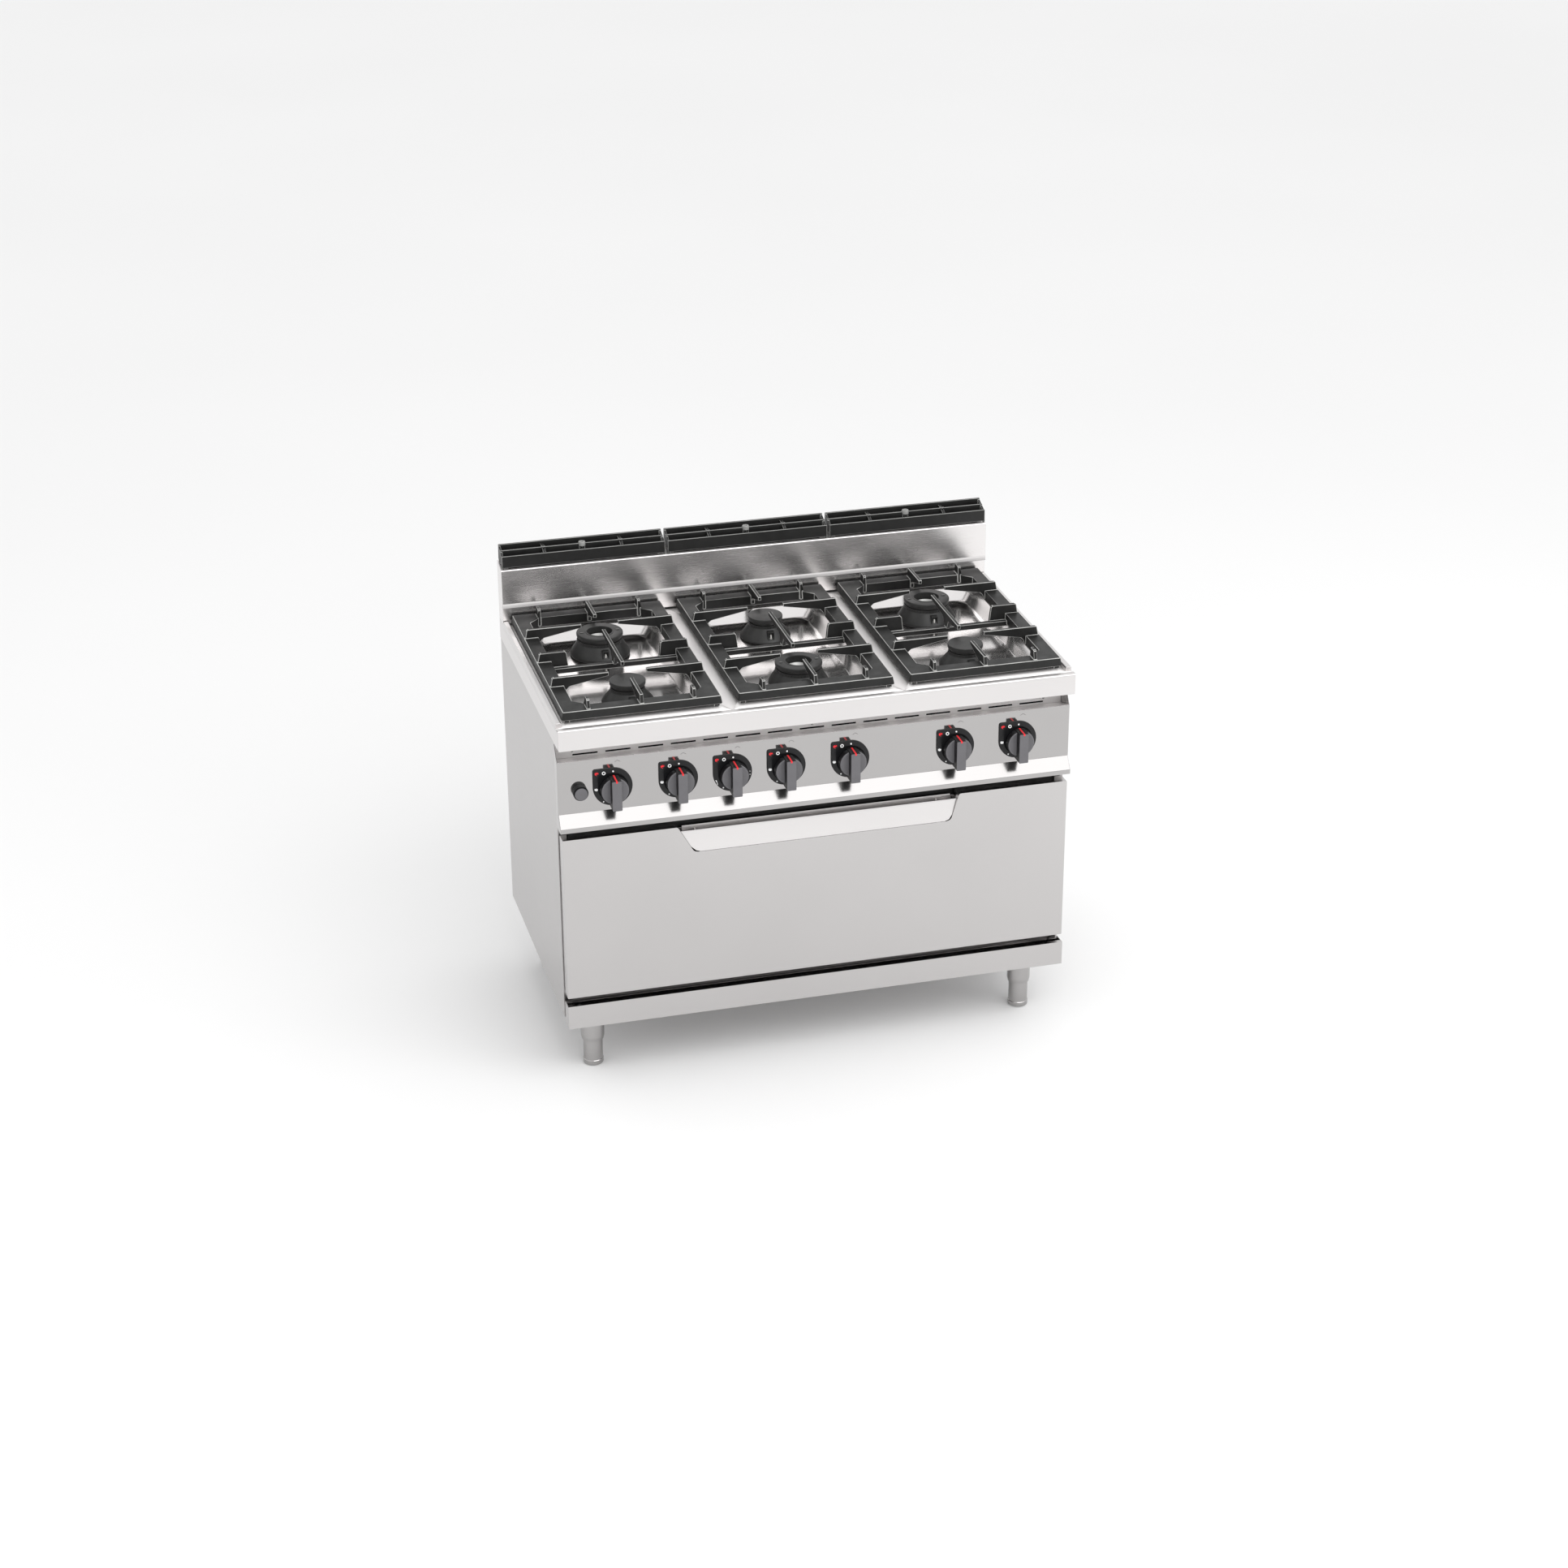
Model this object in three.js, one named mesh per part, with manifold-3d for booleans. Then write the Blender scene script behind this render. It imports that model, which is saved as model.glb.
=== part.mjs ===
// Free-standing commercial gas range: six open burners with cast pan supports over one wide gas oven.
// Units are millimetres. X runs to the right, Y to the back and Z up from the floor.
// Pieces are laid out about the middle of the body's depth. The whole group then moves back by half of
// what the knobs stand out, so that the origin lies under the middle of the assembled range.
import * as THREE from 'three';
import { mergeVertices } from 'three/addons/utils/BufferGeometryUtils.js';
import Module from 'manifold-3d';

const wasm = await Module();
wasm.setup();

// ---------- driving dimensions ----------
const WIDTH = 1200;
const DEPTH = 700;
const HOB_HEIGHT = 900;
const BACK_HEIGHT = 1046;             // rear edge of the splashback's top
const SHEET = 1.5;
const FIT = 0.25;                     // clearance between pieces that touch
const MODULE_PITCH = WIDTH / 3;       // one pan support, basin and flue grille per module

const SIDE = WIDTH / 2;
const FRONT = -DEPTH / 2;
const BACK = DEPTH / 2;
const MODULES = [-MODULE_PITCH, 0, MODULE_PITCH];

const SKIRT_BOTTOM = HOB_HEIGHT - 50.5;
const BODY_BOTTOM = 158;
const BODY_SIDE = SIDE - 1.25;        // the body's sides are inset from the hob's skirt
const BODY_FRONT = -292.5;            // front edge of the side panels
const BODY_INNER = BODY_SIDE - SHEET; // inner face of a side panel
const BACK_SHEET = 348.25;            // front face of the back panel

const PANEL_FACE = -317.5;            // the upright part of the control panel
const PANEL_TOP = 810;
const PANEL_BOTTOM = 644;
const VENT_FACE = -267.25;

const DOOR_FACE = -330;
const DOOR_BACK = -297;
const DOOR_BOTTOM = 223.5;
const DOOR_TOP = 623.5;
const DOOR_SIDE = 596;
const DOOR_PIVOT = { y: -306, z: 232 };
const GRIP = {
  bottom: 557,
  top: 610,
  corner: 14,
  gap: 0.4,
  left: { foot: 293, slope: 0.574 },
  right: { foot: 314, slope: 0.3 },
};

const CAVITY = { half: 500, front: -291.5, back: 250, floor: 255, top: 565, wall: 2 };
const PLINTH = { face: -335, back: -295, bottom: 147, top: 205, side: 597 };
const FOOT = { x: 524, front: -238, rear: 270, radius: 24, top: 150, collar: 65 };

const PLATE_TOP = 898;                // upper face of the hob's flat plate
const HOB_SHEET = 2;
const HOB_REAR = 303;                 // rear edge of the plate, where the splashback stands up
const BASIN = { halfX: 155, halfY: 273, y: -5, depth: 32, slope: 33, corner: 45 };
const BASIN_FLOOR = PLATE_TOP - BASIN.depth;

const BURNER_Y = { front: -153, rear: 145 };
const RING_BURNER = { base: 70, neck: 50, crown: 54.5, hole: 29.5, seat: 908, top: 923, feed: 48 };
const CAP_BURNER = { base: 60, neck: 37, crown: 41.2, seat: 906, top: 921.5, feed: 0 };

const GRATE = { y: -6, halfX: 182.5, halfY: 303, band: 36, lip: 905, top: 924, fingerTop: 945.5 };
const FINGER = 8;                     // thickness of a pan-support finger

const KNOB_X = [-475, -325, -200, -75, 75, 325, 475];
const THERMOSTAT = 2;                 // place of the oven's knob in the row
const KNOB_Z = 739;
const KNOB = { disc: 32, back: 12, face: 30, nose: 49.5, finWidth: 22, finUp: 32.5, finDown: 40 };
const STEM = { radius: 4, back: 36, tip: 26 };
const MANIFOLD = { y: -246, z: KNOB_Z, radius: 11, left: -540, right: 545, bodyFront: -300 };
const IGNITER = { x: -550, z: 736 };
const IGNITER_SHAFT = 4.5;

const KNOBS_PROUD = FRONT - (PANEL_FACE - KNOB.nose);

const ROUND = 20;                     // facets around a large round piece
const SMALL_ROUND = 12;

// ---------- finishes ----------
const finish = (color, roughness, metalness) => ({ color, roughness, metalness });
const STEEL = finish(0xcfccc8, 0.34, 1);
const POLISHED = finish(0xdedcd8, 0.18, 1);
const CAST_IRON = finish(0x3c3c3b, 0.5, 0.3);
const BLACK_IRON = finish(0x26262a, 0.6, 0.3);
const ENAMEL = finish(0x1d1d1e, 0.4, 0);
const PLASTIC = finish(0x3a3a3f, 0.45, 0);
const BRASS = finish(0xb58d3d, 0.35, 1);
const ZINC = finish(0x9b9c9b, 0.45, 1);
const GASKET = finish(0x2c2c2c, 0.9, 0);
const BRIGHT_WIRE = finish(0xd8d8d8, 0.25, 1);
const LEG_STEEL = finish(0xb4b2ac, 0.35, 1);

// ---------- solids ----------
const GRID = 1 / 64;                  // corners sit on this grid, so faces meant to be flush are flush

// Turns a three.js geometry into a closed solid with its faces pointing out.
function solid(geometry) {
  const bare = new THREE.BufferGeometry();
  const snapped = geometry.getAttribute('position').array.map((value) => Math.round(value / GRID) * GRID);
  bare.setAttribute('position', new THREE.BufferAttribute(snapped, 3));
  bare.setIndex(geometry.getIndex());
  const merged = mergeVertices(bare, GRID / 4);
  const points = merged.getAttribute('position').array;
  const index = merged.getIndex().array;
  const corner = (i) => new THREE.Vector3(points[3 * i], points[3 * i + 1], points[3 * i + 2]);
  const kept = [];
  let volume = 0;
  for (let i = 0; i < index.length; i += 3) {
    const [a, b, c] = index.slice(i, i + 3);
    if (a !== b && b !== c && c !== a) {
      kept.push([a, b, c]);
      volume += corner(a).dot(corner(b).cross(corner(c)));
    }
  }
  const triangles = volume < 0 ? kept.map(([a, b, c]) => [a, c, b]) : kept;
  return new wasm.Manifold(new wasm.Mesh({
    numProp: 3,
    vertProperties: new Float32Array(points),
    triVerts: new Uint32Array(triangles.flat()),
  }));
}

function geometryOf(body) {
  const mesh = body.simplify(GRID).getMesh();
  const geometry = new THREE.BufferGeometry();
  geometry.setAttribute('position', new THREE.BufferAttribute(mesh.vertProperties, 3));
  geometry.setIndex(new THREE.BufferAttribute(mesh.triVerts, 1));
  geometry.computeVertexNormals();
  return geometry;
}

const join = (first, ...rest) => rest.reduce((body, part) => body.add(part), first);
const cut = (first, ...tools) => tools.reduce((body, tool) => body.subtract(tool), first);

function box([x0, x1], [y0, y1], [z0, z1]) {
  const geometry = new THREE.BoxGeometry(x1 - x0, y1 - y0, z1 - z0);
  return solid(geometry.translate((x0 + x1) / 2, (y0 + y1) / 2, (z0 + z1) / 2));
}

function outline(points) {
  return new THREE.Shape(points.map(([a, b]) => new THREE.Vector2(a, b)));
}

function roundedRectangle(halfX, halfY, radius) {
  const shape = new THREE.Shape();
  shape.absarc(halfX - radius, halfY - radius, radius, 0, Math.PI / 2);
  shape.absarc(radius - halfX, halfY - radius, radius, Math.PI / 2, Math.PI);
  shape.absarc(radius - halfX, radius - halfY, radius, Math.PI, 1.5 * Math.PI);
  shape.absarc(halfX - radius, radius - halfY, radius, 1.5 * Math.PI, 2 * Math.PI);
  return shape;
}

function extruded(shape, depth, curveSegments = 4) {
  return new THREE.ExtrudeGeometry(shape, { depth, bevelEnabled: false, curveSegments });
}

// The same span on the right (sign 1) or, mirrored, on the left (sign -1).
const bothWays = (sign, near, far) => (sign < 0 ? [-far, -near] : [near, far]);

// A prism from an outline in (y, z), running along X.
function alongX(points, [x0, x1]) {
  const turn = new THREE.Matrix4().set(0, 0, 1, x0, 1, 0, 0, 0, 0, 1, 0, 0, 0, 0, 0, 1);
  return solid(extruded(outline(points), x1 - x0).applyMatrix4(turn));
}

// A prism from an outline in (x, z), running along Y.
function alongY(points, [y0, y1]) {
  return solid(extruded(outline(points), y1 - y0).rotateX(Math.PI / 2).translate(0, y1, 0));
}

// A prism from a shape in (x, y), running along Z.
function alongZ(shape, [z0, z1]) {
  return solid(extruded(shape, z1 - z0).translate(0, 0, z0));
}

// A turned piece about the Z axis, from a profile of (radius, height) points.
function turned(profile, segments = ROUND) {
  const points = profile.map(([r, h]) => new THREE.Vector2(r, h));
  return solid(new THREE.LatheGeometry(points, segments).rotateX(Math.PI / 2));
}

// A turned ring, whose profile closes on itself.
function turnedRing(profile, segments = ROUND) {
  return turned([...profile, profile[0]], segments);
}

function rod(radius, [h0, h1], segments = SMALL_ROUND) {
  return turned([[0, h0], [radius, h0], [radius, h1], [0, h1]], segments);
}

const QUARTER = 90;
// Lays a piece that was turned about Z on its side, so that its height runs towards the front.
const facingFront = (body) => body.rotate([QUARTER, 0, 0]);
const facingRight = (body) => body.rotate([0, QUARTER, 0]);

// A sheet of even thickness bent along a line of (y, z) points; the sheet grows to the line's left.
function bentSheet(points, thickness) {
  const vectors = points.map(([y, z]) => new THREE.Vector2(y, z));
  const normal = (a, b) => {
    const along = b.clone().sub(a).normalize();
    return new THREE.Vector2(-along.y, along.x);
  };
  const inner = vectors.map((point, i) => {
    const before = i > 0 ? normal(vectors[i - 1], point) : normal(point, vectors[1]);
    const after = i < vectors.length - 1 ? normal(point, vectors[i + 1]) : before;
    const mitre = before.clone().add(after);
    return mitre.multiplyScalar(thickness / (1 + before.dot(after))).add(point);
  });
  return [...points, ...inner.reverse().map((point) => [point.x, point.y])];
}

// A round pipe along straight runs with rounded corners.
function pipe(corners, radius, sides = 6) {
  const points = corners.map(([x, y, z]) => new THREE.Vector3(x, y, z));
  const route = new THREE.CatmullRomCurve3(points, false, 'catmullrom', 0.12);
  const section = new THREE.Shape();
  for (let i = 0; i < sides; i += 1) {
    const angle = (2 * Math.PI * i) / sides;
    const place = [radius * Math.cos(angle), radius * Math.sin(angle)];
    if (i === 0) section.moveTo(...place);
    else section.lineTo(...place);
  }
  const steps = 3 * (corners.length - 1);
  return solid(new THREE.ExtrudeGeometry(section, { steps, extrudePath: route }));
}

// ---------- placing pieces ----------
const range = new THREE.Group();
range.position.y = KNOBS_PROUD / 2;

function place(name, body, look, [x, y, z] = [0, 0, 0]) {
  const mesh = new THREE.Mesh(geometryOf(body), new THREE.MeshStandardMaterial(look));
  mesh.name = name;
  mesh.position.set(x, y, z);
  range.add(mesh);
}

// ---------- body ----------
const SIDE_FLANGE = 20;

function sidePanel(sign) {
  const webX = bothWays(sign, BODY_INNER, BODY_SIDE);
  const flangeX = bothWays(sign, BODY_SIDE - SIDE_FLANGE, BODY_SIDE);
  const height = [BODY_BOTTOM, SKIRT_BOTTOM - FIT];
  const rearEdge = BACK_SHEET - FIT;
  const web = box(webX, [BODY_FRONT, BACK], height);
  const frontFlange = box(flangeX, [BODY_FRONT, BODY_FRONT + SHEET], [BODY_BOTTOM, PANEL_BOTTOM - 4]);
  const rearFlange = box(flangeX, [rearEdge - SHEET, rearEdge], height);
  return join(web, frontFlange, rearFlange);
}

const INLET = { x: 545, z: 240, hole: 24, thread: 17 };

function backPanel() {
  const half = BODY_INNER - FIT;
  const height = [BODY_BOTTOM + 2, HOB_HEIGHT - FIT];
  const sheet = box([-half, half], [BACK_SHEET, BACK_SHEET + SHEET], height);
  const hole = facingFront(rod(INLET.hole, [-BACK - 1, 1 - BACK_SHEET]));
  return cut(sheet, hole.translate([INLET.x, 0, INLET.z]));
}

function legSleeve() {
  const outer = FOOT.radius + 3.5;
  const bore = FOOT.radius + 0.5;
  const taper = 8;
  const profile = [
    [bore, FOOT.collar], [bore + 1, FOOT.collar], [outer, FOOT.collar + taper],
    [outer, BODY_BOTTOM + 1], [bore, BODY_BOTTOM + 1],
  ];
  return turnedRing(profile);
}

const FEET = [
  ['front_left', -FOOT.x, FOOT.front],
  ['front_right', FOOT.x, FOOT.front],
  ['rear_left', -FOOT.x, FOOT.rear],
  ['rear_right', FOOT.x, FOOT.rear],
];

function baseFrame() {
  const half = BODY_INNER - FIT;
  const front = BODY_FRONT + SHEET + FIT;
  const rear = BACK_SHEET - 2 * FIT - SHEET;
  const tray = cut(
    box([-half, half], [front, rear], [BODY_BOTTOM, PLINTH.top - 5]),
    box([2 - half, half - 2], [front + 2, rear - 2], [BODY_BOTTOM + 2, PLINTH.top]),
  );
  const sleeves = FEET.map(([, x, y]) => legSleeve().translate([x, y, 0]));
  return join(tray, ...sleeves);
}

function adjustableFoot() {
  const edge = 3;
  const profile = [
    [0, 0], [FOOT.radius - edge, 0], [FOOT.radius, edge], [FOOT.radius, FOOT.top], [0, FOOT.top],
  ];
  return turned(profile);
}

function plinthPanel() {
  const returnDepth = 10;
  const rearEdge = PLINTH.top - returnDepth;
  const line = [
    [PLINTH.back, rearEdge], [PLINTH.back, PLINTH.bottom], [PLINTH.face, PLINTH.bottom],
    [PLINTH.face, PLINTH.top], [PLINTH.face + returnDepth, PLINTH.top],
  ];
  const channel = alongX(bentSheet(line, -SHEET), [-PLINTH.side, PLINTH.side]);
  const cap = [
    [PLINTH.face, PLINTH.bottom], [PLINTH.back, PLINTH.bottom], [PLINTH.back, rearEdge],
    [PLINTH.back - 6, PLINTH.top - 1], [PLINTH.face, PLINTH.top],
  ];
  const caps = [-PLINTH.side, PLINTH.side - SHEET].map((x) => alongX(cap, [x, x + SHEET]));
  return join(channel, ...caps);
}

// ---------- control panel ----------
const PANEL_END = SIDE - 1.75;        // the panel's sheet, inside its end caps
const NOSE = { y: -337.5, top: 655, kneeZ: 683 };
const SLOT = { count: 15, pitch: 75, length: 57.5, height: 4, z: 803 };
const IGNITER_HOLE = 6.5;

function controlPanel() {
  const line = [
    [-300, PANEL_BOTTOM], [NOSE.y, PANEL_BOTTOM], [NOSE.y, NOSE.top], [PANEL_FACE, NOSE.kneeZ],
    [PANEL_FACE, PANEL_TOP], [VENT_FACE - 0.5, PANEL_TOP - 13],
  ];
  const sheet = alongX(bentSheet(line, -SHEET), [-PANEL_END, PANEL_END]);
  const capTop = SKIRT_BOTTOM - 3;
  const capBack = BODY_FRONT - FIT;
  const cap = [
    [capBack, PANEL_BOTTOM], [NOSE.y, PANEL_BOTTOM], [NOSE.y, NOSE.top], [PANEL_FACE, NOSE.kneeZ],
    [PANEL_FACE, PANEL_TOP], [capBack, capTop],
  ];
  const caps = [-SIDE, SIDE - SHEET - FIT].map((x) => alongX(cap, [x, x + SHEET + FIT]));
  const rearClearance = [-1, 1].map((sign) => box(
    bothWays(sign, BODY_INNER - FIT, SIDE),
    [capBack, VENT_FACE],
    [PANEL_BOTTOM - 1, PANEL_TOP],
  ));
  const through = [-PANEL_FACE - 5, 5 - PANEL_FACE];
  const hole = (x, z, radius) => facingFront(rod(radius, through)).translate([x, 0, z]);
  const stemHoles = KNOB_X.map((x) => hole(x, KNOB_Z, STEM.radius + 2));
  const igniterHole = hole(IGNITER.x, IGNITER.z, IGNITER_HOLE);
  return cut(join(sheet, ...caps), ...rearClearance, ...stemHoles, igniterHole);
}

function ventRail() {
  const half = BODY_INNER - 2 * FIT;
  const rail = box([-half, half], [VENT_FACE, VENT_FACE + SHEET], [PANEL_TOP - 20, SKIRT_BOTTOM - FIT]);
  const first = (-SLOT.pitch * (SLOT.count - 1)) / 2;
  const slots = Array.from({ length: SLOT.count }, (_, i) => {
    const centre = first + i * SLOT.pitch;
    return box(
      [centre - SLOT.length / 2, centre + SLOT.length / 2],
      [VENT_FACE - 1, VENT_FACE + 2 * SHEET],
      [SLOT.z - SLOT.height / 2, SLOT.z + SLOT.height / 2],
    );
  });
  return cut(rail, ...slots);
}

function knob() {
  const { disc, back, face, nose, finWidth, finUp, finDown } = KNOB;
  const edge = 2;
  const body = turned([
    [0, back], [disc - 1, back], [disc, back + edge], [disc, face - edge], [disc - edge, face], [0, face],
  ]);
  const fin = box([-finWidth / 2, finWidth / 2], [-nose, -back], [-finDown, finUp]);
  const bore = rod(STEM.radius + FIT, [back - 1, STEM.tip + FIT]);
  return cut(join(facingFront(body), fin), facingFront(bore));
}

function valveStem() {
  return facingFront(rod(STEM.radius, [-STEM.back, STEM.tip]));
}

const COLLAR = { radius: 17, bore: 15.5, length: 16, floor: 4 };
const BUTTON = { radius: 15, back: 10, face: 21, tail: -14 };

function igniterCollar() {
  const hole = IGNITER_SHAFT + FIT;
  const profile = [
    [hole, FIT], [COLLAR.radius, FIT], [COLLAR.radius, COLLAR.length],
    [COLLAR.bore, COLLAR.length], [COLLAR.bore, COLLAR.floor], [hole, COLLAR.floor],
  ];
  return facingFront(turnedRing(profile));
}

function igniterButton() {
  const profile = [
    [0, BUTTON.tail], [IGNITER_SHAFT, BUTTON.tail], [IGNITER_SHAFT, BUTTON.back],
    [BUTTON.radius, BUTTON.back], [BUTTON.radius, BUTTON.face - 2], [BUTTON.radius - 2, BUTTON.face],
    [0, BUTTON.face],
  ];
  return facingFront(turned(profile));
}

// ---------- gas supply ----------
// Which burner each of the six burner knobs feeds, from left to right.
const BURNERS = [
  { name: 'left_rear', x: -MODULE_PITCH, y: BURNER_Y.rear, form: RING_BURNER, knob: 0 },
  { name: 'left_front', x: -MODULE_PITCH, y: BURNER_Y.front, form: CAP_BURNER, knob: 1 },
  { name: 'centre_front', x: 0, y: BURNER_Y.front, form: RING_BURNER, knob: 3 },
  { name: 'centre_rear', x: 0, y: BURNER_Y.rear, form: CAP_BURNER, knob: 4 },
  { name: 'right_front', x: MODULE_PITCH, y: BURNER_Y.front, form: CAP_BURNER, knob: 5 },
  { name: 'right_rear', x: MODULE_PITCH, y: BURNER_Y.rear, form: RING_BURNER, knob: 6 },
];
const FEED_RADIUS = 5;
const OVEN_BURNER = { z: 215, tube: 14, end: 430, front: -160, rear: 80 };

function gasManifold() {
  const { y, z, radius, left, right, bodyFront } = MANIFOLD;
  const rail = facingRight(rod(radius, [left, right])).translate([0, y, z]);
  const valves = KNOB_X.map((x, i) => {
    const half = i === THERMOSTAT ? 22 : 15;
    return box([x - half, x + half], [bodyFront, y], [z - half, z + half]);
  });
  const riseY = y - 10;
  const runZ = BASIN_FLOOR - 34;
  const feeds = BURNERS.map(({ x, y: burnerY, form, knob: knobIndex }) => {
    const from = KNOB_X[knobIndex];
    const beside = x + Math.sign(burnerY) * 30;
    const end = burnerY + form.feed;
    return pipe([
      [from, riseY, z], [from, riseY, runZ - 32], [beside, riseY + 26, runZ], [beside, end - 40, runZ],
      [x, end, runZ + 8], [x, end, BASIN_FLOOR + 10],
    ], FEED_RADIUS);
  });
  const besideOven = FEED_RADIUS + 47 - SIDE;
  const ovenFeed = pipe([
    [KNOB_X[THERMOSTAT], y, z], [KNOB_X[THERMOSTAT], y + 31, z], [besideOven + 4, y + 36, z - 30],
    [besideOven, y + 46, 400], [besideOven, y + 66, OVEN_BURNER.z + 15],
    [-OVEN_BURNER.end - 75, OVEN_BURNER.front, OVEN_BURNER.z],
    [-OVEN_BURNER.end - 22.5, OVEN_BURNER.front, OVEN_BURNER.z],
  ], FEED_RADIUS);
  const stemBore = rod(STEM.radius + FIT, [-bodyFront - 30, 1 - bodyFront]);
  const bores = KNOB_X.map((x) => facingFront(stemBore).translate([x, 0, z]));
  return cut(join(rail, ...valves, ...feeds, ovenFeed), ...bores);
}

function gasInlet() {
  const { y, z, radius } = MANIFOLD;
  const start = y + radius + FIT;
  const fall = BACK - 30;
  const supply = pipe([
    [INLET.x - 15, start, z], [INLET.x - 15, start + 20, z], [INLET.x, fall - 20, z], [INLET.x, fall, z - 20],
    [INLET.x, fall, INLET.z + 20], [INLET.x, fall + 6, INLET.z], [INLET.x, fall + 16, INLET.z],
  ], 9, 8);
  const fitting = facingFront(rod(INLET.thread, [FIT - BACK, 16 - BACK], 6));
  return join(supply, fitting.translate([INLET.x, 0, INLET.z]));
}

// ---------- hob ----------
// A pressed basin, upright at the plate and sloping in to its floor.
function basinForm(spread, drop) {
  const shape = roundedRectangle(BASIN.halfX + spread, BASIN.halfY + spread, BASIN.corner + spread);
  const geometry = new THREE.ExtrudeGeometry(shape, {
    depth: 8, bevelEnabled: true, bevelThickness: BASIN.depth, bevelSize: BASIN.slope,
    bevelOffset: -BASIN.slope, bevelSegments: 1, curveSegments: 4,
  });
  return solid(geometry.translate(0, BASIN.y, PLATE_TOP - drop));
}

function hobTop() {
  const nosing = 18;
  const round = 5;
  const line = [
    [FRONT + nosing, SKIRT_BOTTOM], [FRONT, SKIRT_BOTTOM], [FRONT, HOB_HEIGHT - round],
    [FRONT + 1.5, HOB_HEIGHT - 1.5], [FRONT + round, HOB_HEIGHT], [FRONT + 14, HOB_HEIGHT],
    [FRONT + 20, PLATE_TOP], [HOB_REAR, PLATE_TOP],
  ];
  const plate = alongX(bentSheet(line, -HOB_SHEET), [-SIDE, SIDE]);
  const rimHeight = 7;
  const rimWidth = 14;
  const parts = [];
  for (const sign of [-1, 1]) {
    const rim = [
      [SIDE - rimWidth, PLATE_TOP - 0.5], [SIDE - rimWidth + 2, HOB_HEIGHT + rimHeight - 2],
      [SIDE - rimWidth + 6, HOB_HEIGHT + rimHeight], [SIDE - 4, HOB_HEIGHT + rimHeight],
      [SIDE, HOB_HEIGHT + rimHeight - 4], [SIDE, PLATE_TOP - 0.5],
    ].map(([x, z]) => [sign * x, z]);
    parts.push(alongY(rim, [FRONT + 28, HOB_REAR - 3]));
    const skirt = sign < 0 ? [-SIDE, -SIDE + HOB_SHEET] : [SIDE - HOB_SHEET, SIDE];
    parts.push(box(skirt, [FRONT + 1, BACK], [SKIRT_BOTTOM, PLATE_TOP - 1.5]));
    parts.push(box(skirt, [HOB_REAR - 5, BACK], [PLATE_TOP - 10, HOB_HEIGHT]));
  }
  const below = box([-SIDE, SIDE], [FRONT, BACK], [BASIN_FLOOR - 2 * HOB_SHEET, PLATE_TOP]);
  const pressed = basinForm(HOB_SHEET, HOB_SHEET).intersect(below);
  const hollow = basinForm(0, 0);
  const basins = MODULES.map((x) => pressed.translate([x, 0, 0]));
  const hollows = MODULES.map((x) => hollow.translate([x, 0, 0]));
  const feedHoles = BURNERS.map(({ x, y, form }) => (
    rod(FEED_RADIUS + 2, [BASIN_FLOOR - 5, BASIN_FLOOR + 5]).translate([x, y + form.feed, 0])
  ));
  return cut(join(plate, ...parts, ...basins), ...hollows, ...feedHoles);
}

function ringBurnerBase() {
  const { base, neck, hole, seat } = RING_BURNER;
  const foot = BASIN_FLOOR + FIT;
  const wall = 3;
  return turnedRing([
    [base - wall, foot], [base, foot], [base, foot + 6], [base - 3, foot + 11],
    [neck + 3, seat - 6], [neck, seat],
    [hole + 2, seat], [hole, foot], [hole + wall, foot], [hole + 2 + wall, seat - 5],
    [neck - wall, seat - 5], [base - 4 - wall, foot + 9],
  ]);
}

function ringBurnerCrown() {
  const { neck, crown, hole, seat, top } = RING_BURNER;
  return turnedRing([
    [hole, seat + FIT], [neck, seat + FIT], [neck, seat + 4], [crown, seat + 6],
    [crown, top - 4], [crown - 3, top],
    [hole + 4, top - 1], [hole, top - 4],
  ]);
}

function capBurnerBase() {
  const { base, neck, seat } = CAP_BURNER;
  const foot = BASIN_FLOOR + FIT;
  const wall = 3;
  return turned([
    [0, seat - 4], [neck - wall, seat - 4], [base - wall, foot + 3], [base - wall, foot], [base, foot],
    [base, foot + 4], [neck + 1, seat - 4], [neck, seat], [0, seat],
  ]);
}

function capBurnerCap() {
  const { neck, crown, seat, top } = CAP_BURNER;
  return turned([
    [0, seat + FIT], [neck, seat + FIT], [neck, seat + 4.5], [crown, seat + 6], [crown, top - 3.5],
    [crown - 2, top - 1.5], [0, top],
  ]);
}

// ---------- pan supports ----------
const GRATE_FEET_Z = PLATE_TOP + FIT;
const INNER_X = GRATE.halfX - GRATE.band;
const INNER_Y = GRATE.halfY - GRATE.band;

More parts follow.
